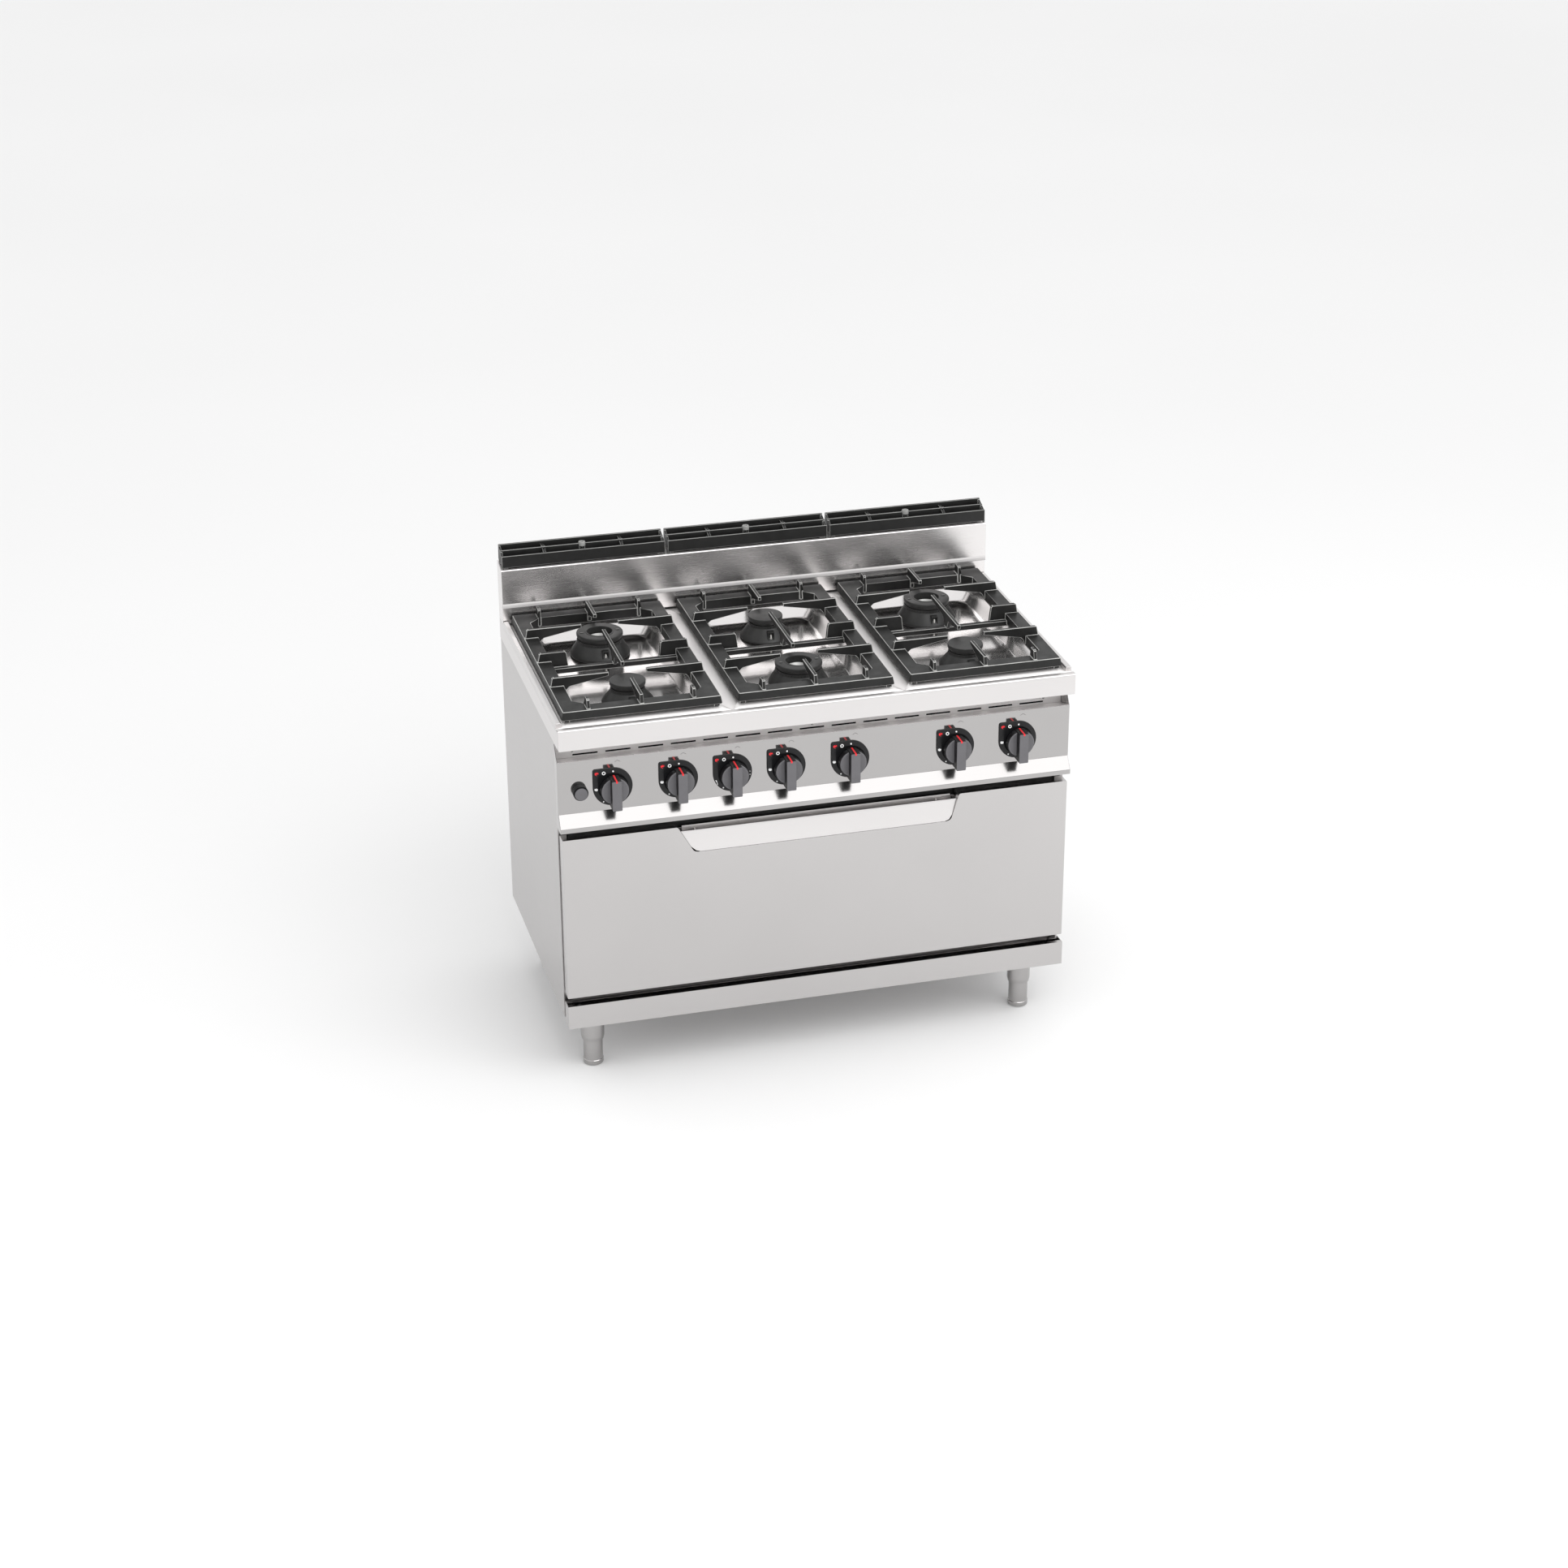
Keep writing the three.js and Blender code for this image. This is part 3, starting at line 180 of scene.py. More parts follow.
LOOKS = {
    "panel": steel("steel_panel", 0.42, 0.07, ALONG_X, 0.000001),
    # The control panel's ledge is a near-white steel: painted light, brightening it in the shade under the
    # nosing.
    "ledge": steel("steel_ledge_painted_light", 0.97, 0.3, ALONG_X, metallic=0.6),
    "nose": steel("steel_nose", 0.32, 0.16, ALONG_X, 0.000001),
    # The vent rail's steel is near-white and hardly metallic: painted light, brightening it in the shade
    # under the nosing.
    "rail": steel("steel_rail_painted_light", 0.95, 0.55, ALONG_X, metallic=0.15),
    "side": steel("steel_side", 0.5, 0.3, ALONG_Y),
    "door": steel("steel_door", 0.53, 0.2, ALONG_X),
    "plate_steel": steel("steel_hob_plate", 0.9, 0.5, ALONG_X, metallic=0.7),
    "nosing": steel("steel_nosing", 0.7, 0.34, ALONG_X),
    "grip": steel("steel_grip", 0.72, 0.3, ALONG_X),
    "basin": steel("steel_basin", 0.8, 0.15, ALONG_X, 0.000001),
    "mirror": steel("steel_mirror", 0.76, 0.26, ALONG_X, 0.0000005),
    "mirror_top": steel("steel_mirror_top", 0.85, 0.4, ALONG_X),
    "lip": steel("steel_lip", 0.6, 0.6, ALONG_X, metallic=0.15),
    "leg": steel("steel_leg", 0.42, 0.14, (1, 1, 0.02), 0.000001),
    "zinc": metal("zinc_plate", (0.4, 0.4, 0.39), 0.42, 0.12),
    "brass": metal("brass_bar", (0.55, 0.38, 0.15), 0.32, 0.1),
    "wire": metal("chrome_wire", (0.7, 0.7, 0.7), 0.18, 0.04),
    "grate": cast("iron_grate", 0.014, 0.42, 0.00003, 0.3),
    # Lighter iron for the bevels of the pan supports: a painted highlight along their edges.
    "grate_painted_highlight": cast("iron_grate_painted_highlight", 0.42, 0.3, 0.00002, 0.8),
    "burner": cast("iron_burner", 0.02, 0.4, 0.00003, 0.4),
    "flue": cast("iron_flue", 0.012, 0.4, 0.00003),
    # Lighter iron for the bevels of the flue grilles and their ties: a painted highlight along the edges; the
    # grilles' screw heads are made all of it.
    "flue_painted_highlight": cast("iron_flue_painted_highlight", 0.26, 0.3, 0.00002, 0.6),
    "plate": cast("iron_plate", 0.02, 0.6, 0.00006),
    "enamel": Surface("oven_enamel", (0.008, 0.008, 0.008), 0.3),
    "knob": moulded("knob_plastic", (0.12, 0.117, 0.125), 0.45),
    # Darker plastic for the faces of the knobs and the igniter that do not face the front: painted shade.
    "knob_painted_shade": moulded("knob_painted_shade_plastic", (0.008, 0.008, 0.009), 0.4, 0.25),
    "bezel": moulded("bezel_plastic", (0.009, 0.009, 0.01), 0.4, 0.3),
    # Near-black for the flame ports, the burner windows' insides and the tops of the knob grips: painted
    # shade.
    "dark": moulded("painted_shade_black", (0.004, 0.004, 0.004), 0.7),
    "ceramic": moulded("ceramic_white", (0.6, 0.59, 0.56), 0.3),
    "red": paint("mark_red", (0.85, 0.01, 0.02)),
    "white": paint("mark_white", (0.85, 0.85, 0.85)),
    "gasket": rubber("gasket_rubber"),
}
ENAMEL = LOOKS["enamel"]
ENAMEL.mottled(ENAMEL.noise(30.0), 0.3)
LOOKS["enamel"] = ENAMEL.bumped(ENAMEL.noise(150.0), 0.00003).material


# ---------- mesh building ----------
SMOOTH_BELOW = math.radians(35)


def loft(loops, first=False, last=False, wrap=False):
    """A mesh skinned over loops of equally many points, with the ends filled where asked."""
    count = len(loops[0])
    pairs = [(i, i + 1) for i in range(len(loops) - 1)]
    if wrap:
        pairs.append((len(loops) - 1, 0))
    faces = [
        (a * count + j, a * count + (j + 1) % count, b * count + (j + 1) % count, b * count + j)
        for a, b in pairs
        for j in range(count)
    ]
    if first:
        faces.append(tuple(reversed(range(count))))
    if last:
        faces.append(tuple(range((len(loops) - 1) * count, len(loops) * count)))
    mesh = bpy.data.meshes.new("part")
    mesh.from_pydata([tuple(p) for loop in loops for p in loop], [], faces)
    return mesh


def prism(outline, axis, start, end):
    """A closed prism of a flat outline: (y, z) along X, (x, z) along Y or (x, y) along Z."""
    placed = {
        "X": lambda a, b, c: (c, a, b),
        "Y": lambda a, b, c: (a, c, b),
        "Z": lambda a, b, c: (a, b, c),
    }[axis]
    return loft([[placed(a, b, c) for a, b in outline] for c in (start, end)], first=True, last=True)


def block(x, y, z):
    return prism([(x[0], y[0]), (x[1], y[0]), (x[1], y[1]), (x[0], y[1])], "Z", *z)


def turned(profile, centre, axis="Z", sides=64, ring=False):
    """A turned mesh from (radius, height) points; along -Y the heights run towards the front."""
    centre = Vector(centre)
    loops = []
    for radius, height in profile:
        loop = []
        for i in range(sides):
            angle = 2 * math.pi * i / sides
            a, b = radius * math.cos(angle), radius * math.sin(angle)
            offset = {"Z": (a, b, height), "-Y": (a, -height, b), "X": (height, a, b)}[axis]
            loop.append(centre + Vector(offset))
        loops.append(loop)
    return loft(loops, wrap=ring)


def filleted(points, radius, steps=5, closed=False):
    """The same line with its corners rounded; radius is one number or one for each point."""
    points = [Vector(p) for p in points]
    radii = radius if isinstance(radius, (list, tuple)) else [radius] * len(points)
    count = len(points)
    rounded = []
    for i, corner in enumerate(points):
        if radii[i] == 0 or (not closed and i in (0, count - 1)):
            rounded.append(corner)
            continue
        before = points[i - 1] - corner
        after = points[(i + 1) % count] - corner
        reach = radii[i] / math.tan(before.angle(after) / 2)
        reach = min(reach, 0.49 * before.length, 0.49 * after.length)
        start = corner + before.normalized() * reach
        end = corner + after.normalized() * reach
        for step in range(steps + 1):
            t = step / steps
            rounded.append(start * (1 - t) ** 2 + corner * (2 * t * (1 - t)) + end * t ** 2)
    return rounded


def folded(points, thickness):
    """The closed outline of a sheet bent along a line; the sheet lies on the line's right."""
    points = [Vector(p) for p in points]
    inner = []
    for i, point in enumerate(points):
        along = [(b - a).normalized() for a, b in zip(points[max(i - 1, 0):i + 1], points[max(i, 1):i + 2])]
        first, second = along[0], along[-1]
        normals = [Vector((v.y, -v.x)) for v in (first, second)]
        mitre = normals[0] + normals[1]
        inner.append(point + mitre * (thickness / (1 + normals[0].dot(normals[1]))))
    return points + inner[::-1]


def rounded_rectangle(centre, half, radius, z, steps=6):
    """A loop of points round a rectangle whose corners are arcs."""
    loop = []
    for quarter in range(4):
        sign_x = (1, -1, -1, 1)[quarter]
        sign_y = (1, 1, -1, -1)[quarter]
        middle = (centre[0] + sign_x * (half[0] - radius), centre[1] + sign_y * (half[1] - radius))
        for step in range(steps + 1):
            angle = math.pi / 2 * (quarter + step / steps)
            loop.append((middle[0] + radius * math.cos(angle), middle[1] + radius * math.sin(angle), z))
    return loop


def piece(name, parts, look, body=BODY, replaces=(), bevel=0.0, segments=2, clamp=True):
    """Joins meshes into one object that rides on a body."""
    bm = bmesh.new()
    for mesh in parts:
        bm.from_mesh(mesh)
        bpy.data.meshes.remove(mesh)
    bmesh.ops.remove_doubles(bm, verts=bm.verts, dist=1e-7)
    bmesh.ops.recalc_face_normals(bm, faces=bm.faces)
    mesh = bpy.data.meshes.new(name)
    bm.to_mesh(mesh)
    bm.free()
    mesh.shade_smooth()
    mesh.set_sharp_from_angle(angle=SMOOTH_BELOW)
    mesh.materials.append(LOOKS[look])
    made = bpy.data.objects.new(name, mesh)
    bpy.context.scene.collection.objects.link(made)
    if bevel:
        soften(made, bevel, segments, clamp)
    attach(made, body)
    if replaces:
        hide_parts(*replaces)
    return made


def soften(made, width, segments=2, clamp=True):
    """Rounds an object's edges without touching its mesh; a clamped width shrinks near short edges."""
    weld = made.modifiers.new("weld", "WELD")
    weld.merge_threshold = 0.00001
    bevel = made.modifiers.new("bevel", "BEVEL")
    bevel.width = width
    bevel.segments = segments
    bevel.limit_method = "ANGLE"
    bevel.angle_limit = math.radians(28)
    bevel.harden_normals = False
    bevel.use_clamp_overlap = clamp
    bevel.miter_outer = "MITER_ARC"
    normals = made.modifiers.new("normals", "WEIGHTED_NORMAL")
    normals.keep_sharp = False


def shade_faces(made, look, test):
    """Gives a second material to the faces whose normal and middle pass a test."""
    made.data.materials.append(LOOKS[look])
    index = len(made.data.materials) - 1
    for face in made.data.polygons:
        if test(face.normal, face.center):
            face.material_index = index


def finish_cad(names, look, bevel=0.0006, segments=2):
    """Gives CAD nodes that stay as they are a material and soft edges."""
    for name in names:
        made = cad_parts[name]
        for slot in made.material_slots:
            slot.material = LOOKS[look]
        soften(made, bevel, segments)


def casting(name, node, look, edge, body, width):
    """A casting with the shape of its CAD node and rounded edges, whose bevels take a lighter iron: a painted
    highlight along the edges.
    """
    made = piece(name, [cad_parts[node].data.copy()], look, body=body, replaces=(node,),
                 bevel=width, clamp=False)
    # The bevel faces take the second, lighter iron: a painted highlight.
    made.data.materials.append(LOOKS[edge])
    made.modifiers["bevel"].material = 1


def middle_of(node):
    low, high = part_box(node)
    return (low + high) / 2


# ---------- hob ----------
HOB_LOW, HOB_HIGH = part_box("hob_top")
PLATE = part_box("grate_left")[0].z - FIT
BASIN_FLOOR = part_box("burner_base_left_rear")[0].z - FIT
PLATE_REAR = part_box("splashback")[0].y + 0.005
HOB_SHEET = 0.002
NOSE_TOP = HOB_HIGH.z - 0.007
MODULE_HALF = (HOB_HIGH.x - HOB_LOW.x) / 6


def pressed_module(name):
    """One module of the plate with its pressed basin, as one smooth skin."""
    x = middle_of(f"grate_{name}").x
    front = HOB_LOW.y + 0.022
    cell = (x, (front + PLATE_REAR) / 2)
    basin = (x, middle_of(f"grate_{name}").y + 0.001)
    half = (0.155, 0.273)
    corner = 0.045
    slope = 0.033
    depth = PLATE - BASIN_FLOOR
    cell_half = (MODULE_HALF, (PLATE_REAR - front) / 2)

    def ring(inward, down):
        return rounded_rectangle(
            basin, (half[0] - inward, half[1] - inward), corner - inward * 0.35, PLATE - down,
        )

    wall = [(slope * (0.1 + 0.72 * t), depth * (0.13 + 0.74 * t)) for t in (0, 0.5, 1)]
    loops = [
        rounded_rectangle(cell, cell_half, 0.0001, PLATE),
        ring(-0.004, 0), ring(-0.0025, 0.0002), ring(-0.0005, 0.001), ring(0.0013, 0.0026),
        *[ring(*step) for step in wall],
        ring(slope * 0.93, depth * 0.96), ring(slope * 1.08, depth * 0.99), ring(slope * 1.3, depth),
    ]
    return loft(loops, last=True)


def hob():
    """The plate with its basins, the rounded nosing, the raised side rims and the skirts."""
    modules = [pressed_module(name) for name in MODULES]
    plate = piece("hob_plate", modules, "plate_steel", replaces=("hob_top",))
    shade_faces(plate, "basin", lambda normal, centre: centre.z < PLATE - 0.0012)
    sheet = plate.modifiers.new("sheet", "SOLIDIFY")
    sheet.thickness = HOB_SHEET
    sheet.offset = -1
    front = HOB_LOW.y
    line = [
        (front + 0.018, HOB_LOW.z), (front, HOB_LOW.z), (front, NOSE_TOP), (front + 0.015, NOSE_TOP),
        (front + 0.019, PLATE), (front + 0.0218, PLATE),
    ]
    nosing = folded(filleted(line, [0, 0.002, 0.005, 0.003, 0.002, 0], 6), HOB_SHEET)
    piece("hob_nosing", [prism(nosing, "X", HOB_LOW.x, HOB_HIGH.x)], "nosing",
          bevel=0.0004)
    for name, sign in (("left", -1), ("right", 1)):
        outer = sign * HOB_HIGH.x
        inner = outer - sign * 0.014
        rim = [
            (inner, PLATE - 0.001), (inner, HOB_HIGH.z), (outer, HOB_HIGH.z), (outer, PLATE - 0.001),
        ]
        rounded = filleted(rim, [0, 0.004, 0.0035, 0], 6, closed=True)
        skirt_x = sorted((outer, outer - sign * HOB_SHEET))
        parts = [
            prism(rounded, "Y", HOB_LOW.y + 0.028, PLATE_REAR - 0.003),
            block(skirt_x, (HOB_LOW.y + 0.001, HOB_HIGH.y), (HOB_LOW.z, PLATE - 0.0005)),
            block(skirt_x, (PLATE_REAR - 0.004, HOB_HIGH.y), (PLATE - 0.001, NOSE_TOP)),
        ]
        piece(f"hob_rim_{name}", parts, "nosing", bevel=0.0005)


# ---------- burners ----------
THROAT = 0.0305                       # radius of the ring burners' open middle
PORT_HALF = 0.0011


def ports(centre, radius, height, count):
    """Small near-black boxes round a burner's band: painted shade where the flame ports' holes would be."""
    boxes = []
    size = PORT_HALF
    for i in range(count):
        angle = 2 * math.pi * i / count
        x = centre.x + radius * math.cos(angle)
        y = centre.y + radius * math.sin(angle)
        boxes.append(block((x - size, x + size), (y - size, y + size), (height - size, height + size)))
    return boxes


def slotted_screw(centre, radius, height):
    """A pan-head screw that stands upright, and the bright bar that marks its slot."""
    x, y, z = centre
    profile = [(0, height), (radius * 0.8, height), (radius, height * 0.55), (radius, 0)]
    head = turned(profile, centre, sides=24)
    slot = block((x - radius * 0.8, x + radius * 0.8), (y - 0.0006, y + 0.0006),
                 (z + height, z + height + 0.0002))
    return head, slot


def burner_window(name, x, front, z):
    """The pilot's window on a burner's front, with its electrode and painted shade inside."""
    frame_part = [
        block((x - 0.008, x + 0.008), (front, front + 0.012), (z - 0.011, z - 0.008)),
        block((x - 0.008, x + 0.008), (front, front + 0.012), (z + 0.008, z + 0.011)),
        block((x - 0.008, x - 0.0055), (front, front + 0.012), (z - 0.009, z + 0.009)),
        block((x + 0.0055, x + 0.008), (front, front + 0.012), (z - 0.009, z + 0.009)),
    ]
    piece(f"{name}_window", frame_part, "burner", bevel=0.0006)
    # A near-black box fills the window behind its frame: painted shade in the recess.
    recess = [block((x - 0.0058, x + 0.0058), (front + 0.004, front + 0.012), (z - 0.0085, z + 0.0085))]
    piece(f"{name}_recess", recess, "dark")
    tip = turned([(0, 0), (0.002, 0), (0.002, 0.009), (0.0012, 0.011), (0, 0.011)],
                 (x, front + 0.003, z - 0.008), sides=16)
    piece(f"{name}_electrode", [tip], "ceramic")


def cone(name, profile, centre):
    piece(f"{name}_cone", [turned(profile, centre)], "burner",
          replaces=(f"burner_base_{name}",))


def ring_burner(name):
    centre = middle_of(f"burner_cap_{name}")
    low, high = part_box(f"burner_cap_{name}")
    base_low, base_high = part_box(f"burner_base_{name}")
    flare = (base_high.x - base_low.x) / 2
    crown = (high.x - low.x) / 2
    middle = Vector((centre.x, centre.y, 0))
    foot = base_low.z
    seat = low.z - FIT
    line = [
        (flare - 0.003, foot), (flare, foot + 0.002), (flare, foot + 0.007), (flare - 0.004, foot + 0.014),
        (crown - 0.001, seat - 0.008), (crown - 0.0015, seat - 0.001),
    ]
    outer = filleted(line, 0.004)
    throat = [(THROAT + 0.001, seat - 0.001), (THROAT, foot)]
    cone(name, [tuple(p) for p in outer] + throat, middle)
    cup = turned([
        (0, seat - 0.012), (THROAT - 0.0065, seat - 0.010), (THROAT, seat - 0.003), (THROAT, seat - 0.016),
        (0, seat - 0.016),
    ], middle)
    piece(f"{name}_throat", [cup], "zinc")
    top = high.z
    rim = filleted([
        (0.030, low.z), (crown - 0.003, low.z), (crown - 0.003, low.z + 0.005), (crown, low.z + 0.006),
        (crown, top - 0.001), (0.034, top - 0.001), (0.033, top), (0.0295, top), (0.0295, low.z + 0.004),
    ], [0, 0.0005, 0.0005, 0.001, 0.003, 0.0005, 0.001, 0.0015, 0], closed=True)
    crown_ring = turned([tuple(p) for p in rim], middle, ring=True)
    piece(f"{name}_crown", [crown_ring], "burner", replaces=(f"burner_cap_{name}",))
    holes = ports(middle, crown - 0.0017, seat - 0.0045, 44)
    # Near-black boxes for the flame ports: painted shade.
    piece(f"{name}_ports", holes, "dark")
    screws = [
        slotted_screw((centre.x + side * 0.0425, centre.y, top - 0.0014), 0.005, 0.0013) for side in (-1, 1)
    ]
    piece(f"{name}_screws", [head for head, _ in screws], "burner")
    piece(f"{name}_screw_slots", [slot for _, slot in screws], "zinc")
    burner_window(name, centre.x, centre.y - flare + 0.003, foot + 0.02)


def cap_burner(name):
    centre = middle_of(f"burner_cap_{name}")
    low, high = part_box(f"burner_cap_{name}")
    base_low, base_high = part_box(f"burner_base_{name}")
    flare = (base_high.x - base_low.x) / 2
    crown = (high.x - low.x) / 2
    middle = Vector((centre.x, centre.y, 0))
    foot = base_low.z
    seat = low.z - FIT
    line = [
        (flare - 0.003, foot), (flare, foot + 0.002), (flare, foot + 0.005), (flare - 0.005, foot + 0.012),
        (crown - 0.002, seat - 0.008), (crown - 0.0025, seat - 0.001),
    ]
    cone(name, [tuple(p) for p in filleted(line, 0.005)] + [(0, seat - 0.001)], middle)
    top = high.z
    disc = filleted([
        (0, low.z), (crown - 0.004, low.z), (crown - 0.0035, low.z + 0.0045), (crown, low.z + 0.006),
        (crown, top - 0.0008), (crown - 0.004, top - 0.0008), (0.004, top), (0, top),
    ], [0, 0.0005, 0.0005, 0.001, 0.0025, 0.001, 0.002, 0])
    cap = turned([tuple(p) for p in disc], middle)
    piece(f"{name}_cap", [cap], "burner", replaces=(f"burner_cap_{name}",))
    holes = ports(middle, crown - 0.0027, seat - 0.0045, 34)
    # Near-black boxes for the flame ports: painted shade.
    piece(f"{name}_ports", holes, "dark")
    burner_window(name, centre.x, centre.y - flare + 0.004, foot + 0.02)


# ---------- flue grilles ----------
BAR_RISE = 0.008                      # how much higher each bar of a grille is than the bar before it
TIE_REACH = 0.093                     # from a grille's middle to its ties


def flue_details(module):
    """The ties between a grille's bars and the screw that holds the grille down."""
    low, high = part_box(f"flue_grille_{module}")
    x = (low.x + high.x) / 2
    front, middle, rear = low.y + 0.0025, (low.y + high.y) / 2 - 0.0005, high.y - 0.004
    tops = [high.z - 2 * BAR_RISE, high.z - BAR_RISE]
    parts = []
    for side in (-1, 1):
        tie_x = x + side * TIE_REACH
        outline = [
            (front, tops[0] - 0.012), (front, tops[0] - 0.0005), (middle, tops[1] - 0.0005),
            (rear, tops[1] + 0.001), (rear, tops[0] - 0.012),
        ]
        parts.append(prism(outline, "X", tie_x - 0.0035, tie_x + 0.0035))
        parts.append(turned([(0, 0), (0.0055, 0), (0.0055, 0.0012), (0.004, 0.002), (0, 0.002)],
                            (tie_x, middle, tops[1] - 0.0005), sides=20))
    ties = piece(f"flue_ties_{module}", parts, "flue", bevel=0.001, segments=1)
    # The ties' bevels take the lighter iron: a painted highlight along their edges.
    ties.data.materials.append(LOOKS["flue_painted_highlight"])
    ties.modifiers["bevel"].material = 1
    # The screw head is all in the lighter iron of the painted highlights.
    head = turned([(0.003, 0.001), (0.0045, 0.0035), (0.0075, 0.0035), (0.0085, 0.002), (0.0085, -0.006)],
                  (x, middle, tops[1]), sides=28)
    piece(f"flue_screw_{module}", [head], "flue_painted_highlight")


# ---------- control panel ----------
PANEL_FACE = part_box("igniter_collar")[1].y + FIT
PANEL_AXIS_Z = middle_of("valve_stem_1").z


def bezel_outline(x, z, radius):
    """A round plate whose top left corner is squared off and a little rounded."""
    arc = [math.radians(90 - 270 * i / 40) for i in range(41)]
    points = [(x + radius * math.cos(a), z + radius * math.sin(a)) for a in arc]
    corner = filleted([(x - radius, z), (x - radius, z + radius), (x, z + radius)], [0, 0.007, 0])
    return points + [tuple(p) for p in corner[1:-1]]


def flame(x, z, size):
    """A drop with a forked top, as an outline in X and Z."""
    line = [
        (0, -1), (0.8, -0.7), (1, 0), (0.75, 0.75), (0.3, 0.35), (0, 1), (-0.35, 0.4), (-0.8, 0.7), (-1, 0),
        (-0.8, -0.7),
    ]
    return [(x + a * size, z + b * size) for a, b in line]


BEZEL_RADIUS = 0.045
BEZEL_STEPS = [(0, 0), (0, 0.0030), (0.0008, 0.0040), (0.0016, 0.0042), (0.0105, 0.0062), (0.0122, 0.0054)]


def plate_out(x, z):
    """How far a plate stands off the panel at a place given from its knob's axis."""
    if x < 0 < z:
        inward = BEZEL_RADIUS - max(-x, z)
    else:
        inward = BEZEL_RADIUS - math.hypot(x, z)
    for (start, low), (end, high) in zip(BEZEL_STEPS[1:], BEZEL_STEPS[2:]):
        if inward < end:
            return low + (high - low) * max(0, inward - start) / (end - start)
    return BEZEL_STEPS[-1][1]


def mark(outline, x, z):
    """A printed mark that follows the slope of the plate around the axis at x and z."""
    loops = [
        [(x + a, PANEL_FACE - plate_out(a, b) - lift, z + b) for a, b in outline]
        for lift in (-0.0002, 0.0002)
    ]
    return loft(loops, first=True, last=True)


def dot(a, b, radius):
    return [(a + radius * math.cos(i / 2), b + radius * math.sin(i / 2)) for i in range(12)]


def bezel(name):
    """The dark sloping plate behind a knob with its printed settings."""
    x = middle_of(name).x
    z = PANEL_AXIS_Z
    wall = PANEL_FACE
    loops = [
        [(px, wall - out, pz) for px, pz in bezel_outline(x, z, BEZEL_RADIUS - inward)]
        for inward, out in BEZEL_STEPS
    ]
    piece(f"{name}_plate", [loft(loops, first=True, last=True)], "bezel")
    piece(f"{name}_red_mark", [mark(flame(-0.0365, 0.0362, 0.0043), x, z)], "red")
    outlines = [dot(0.001, 0.0385, 0.0020), dot(-0.0225, -0.0335, 0.0017)]
    if name == THERMOSTAT:
        outlines += [dot(0.0395, 0.004 * i - 0.008, 0.0009) for i in (0, 2)]
        outlines += [[(-0.0375, -0.024), (-0.0345, -0.0255), (-0.0375, -0.014), (-0.0405, -0.0125)]]
    else:
        outlines.append(flame(-0.0385, -0.002, 0.0037))
    ring_x, ring_z = x - 0.0205, z + 0.0362
    face = wall - plate_out(-0.0205, 0.0362)
    ring = turned([(0.0022, 0.0005), (0.0042, 0.0005), (0.0042, -0.0005), (0.0022, -0.0005)],
                  (ring_x, face, ring_z), "-Y", sides=24, ring=True)
    piece(f"{name}_white_marks", [ring] + [mark(outline, x, z) for outline in outlines], "white")
    picture = [(x + 0.006, z + 0.0585), (x + 0.012, z + 0.0625), (x + 0.019, z + 0.0585)]
    faint = folded(picture, 0.0006)
    piece(f"{name}_pictogram", [prism(faint, "Y", wall - 0.0002, wall + 0.0002)], "zinc")


KNOB_FACE = 0.030
GRIP_HALF = 0.011
# half the width of the near-black strip on a grip's top, painted shade
TOP_SHADE_HALF = 0.007
POINTER_HALF = 0.0019


def knob(name):
    """A round knob with a tall finger grip across it and a red pointer line on top of the grip."""
    low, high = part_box(name)
    x, wall = (low.x + high.x) / 2, PANEL_FACE
    z = PANEL_AXIS_Z
    radius = (high.x - low.x) / 2
    back = wall - high.y
    nose = wall - low.y
    face = KNOB_FACE
    disc = filleted([
        (0, back), (radius - 0.002, back), (radius, back + 0.003), (radius - 0.0005, face - 0.0015),
        (radius - 0.003, face), (radius - 0.008, face - 0.0004), (0, face - 0.0008),
    ], [0, 0.001, 0.001, 0.002, 0.002, 0.001, 0])
    body = turned([tuple(p) for p in disc], (x, wall, z), "-Y")
    half = GRIP_HALF
    up, down = high.z, low.z
    crest = up - 0.0004
    section = [(x - half, down), (x + half, down), (x + half, crest), (x - half, crest)]
    round_section = [tuple(p) for p in filleted(section, [0.0025, 0.0025, 0.0012, 0.0012], 4, closed=True)]
    grip = prism(round_section, "Y", wall - nose + 0.0003, wall - back - 0.001)
    cap = piece(f"{name}_cap", [body], "knob", body=name, replaces=(name,))
    fin = piece(f"{name}_grip", [grip], "knob", body=name, bevel=0.001, segments=3)
    # Every face that does not look to the front takes the darker plastic: painted shade on the tops and
    # sides.
    for made in (cap, fin):
        shade_faces(made, "knob_painted_shade", lambda normal, centre: normal.y > -0.7)
    # A near-black strip along the top of the grip: painted shade.
    top_shade = block((x - TOP_SHADE_HALF, x + TOP_SHADE_HALF), (wall - nose + 0.004, wall - back - 0.002),
                  (up - 0.001, up - 0.0002))
    piece(f"{name}_inlay", [top_shade], "dark", body=name)
    across = (x - POINTER_HALF, x + POINTER_HALF)
    line = block(across, (wall - nose + 0.0008, wall - back - 0.001), (up - 0.0006, up))
    tip = block(across, (wall - nose, wall - nose + 0.0012), (up - 0.0042, up - 0.0002))
    piece(f"{name}_pointer", [line, tip], "red", body=name)


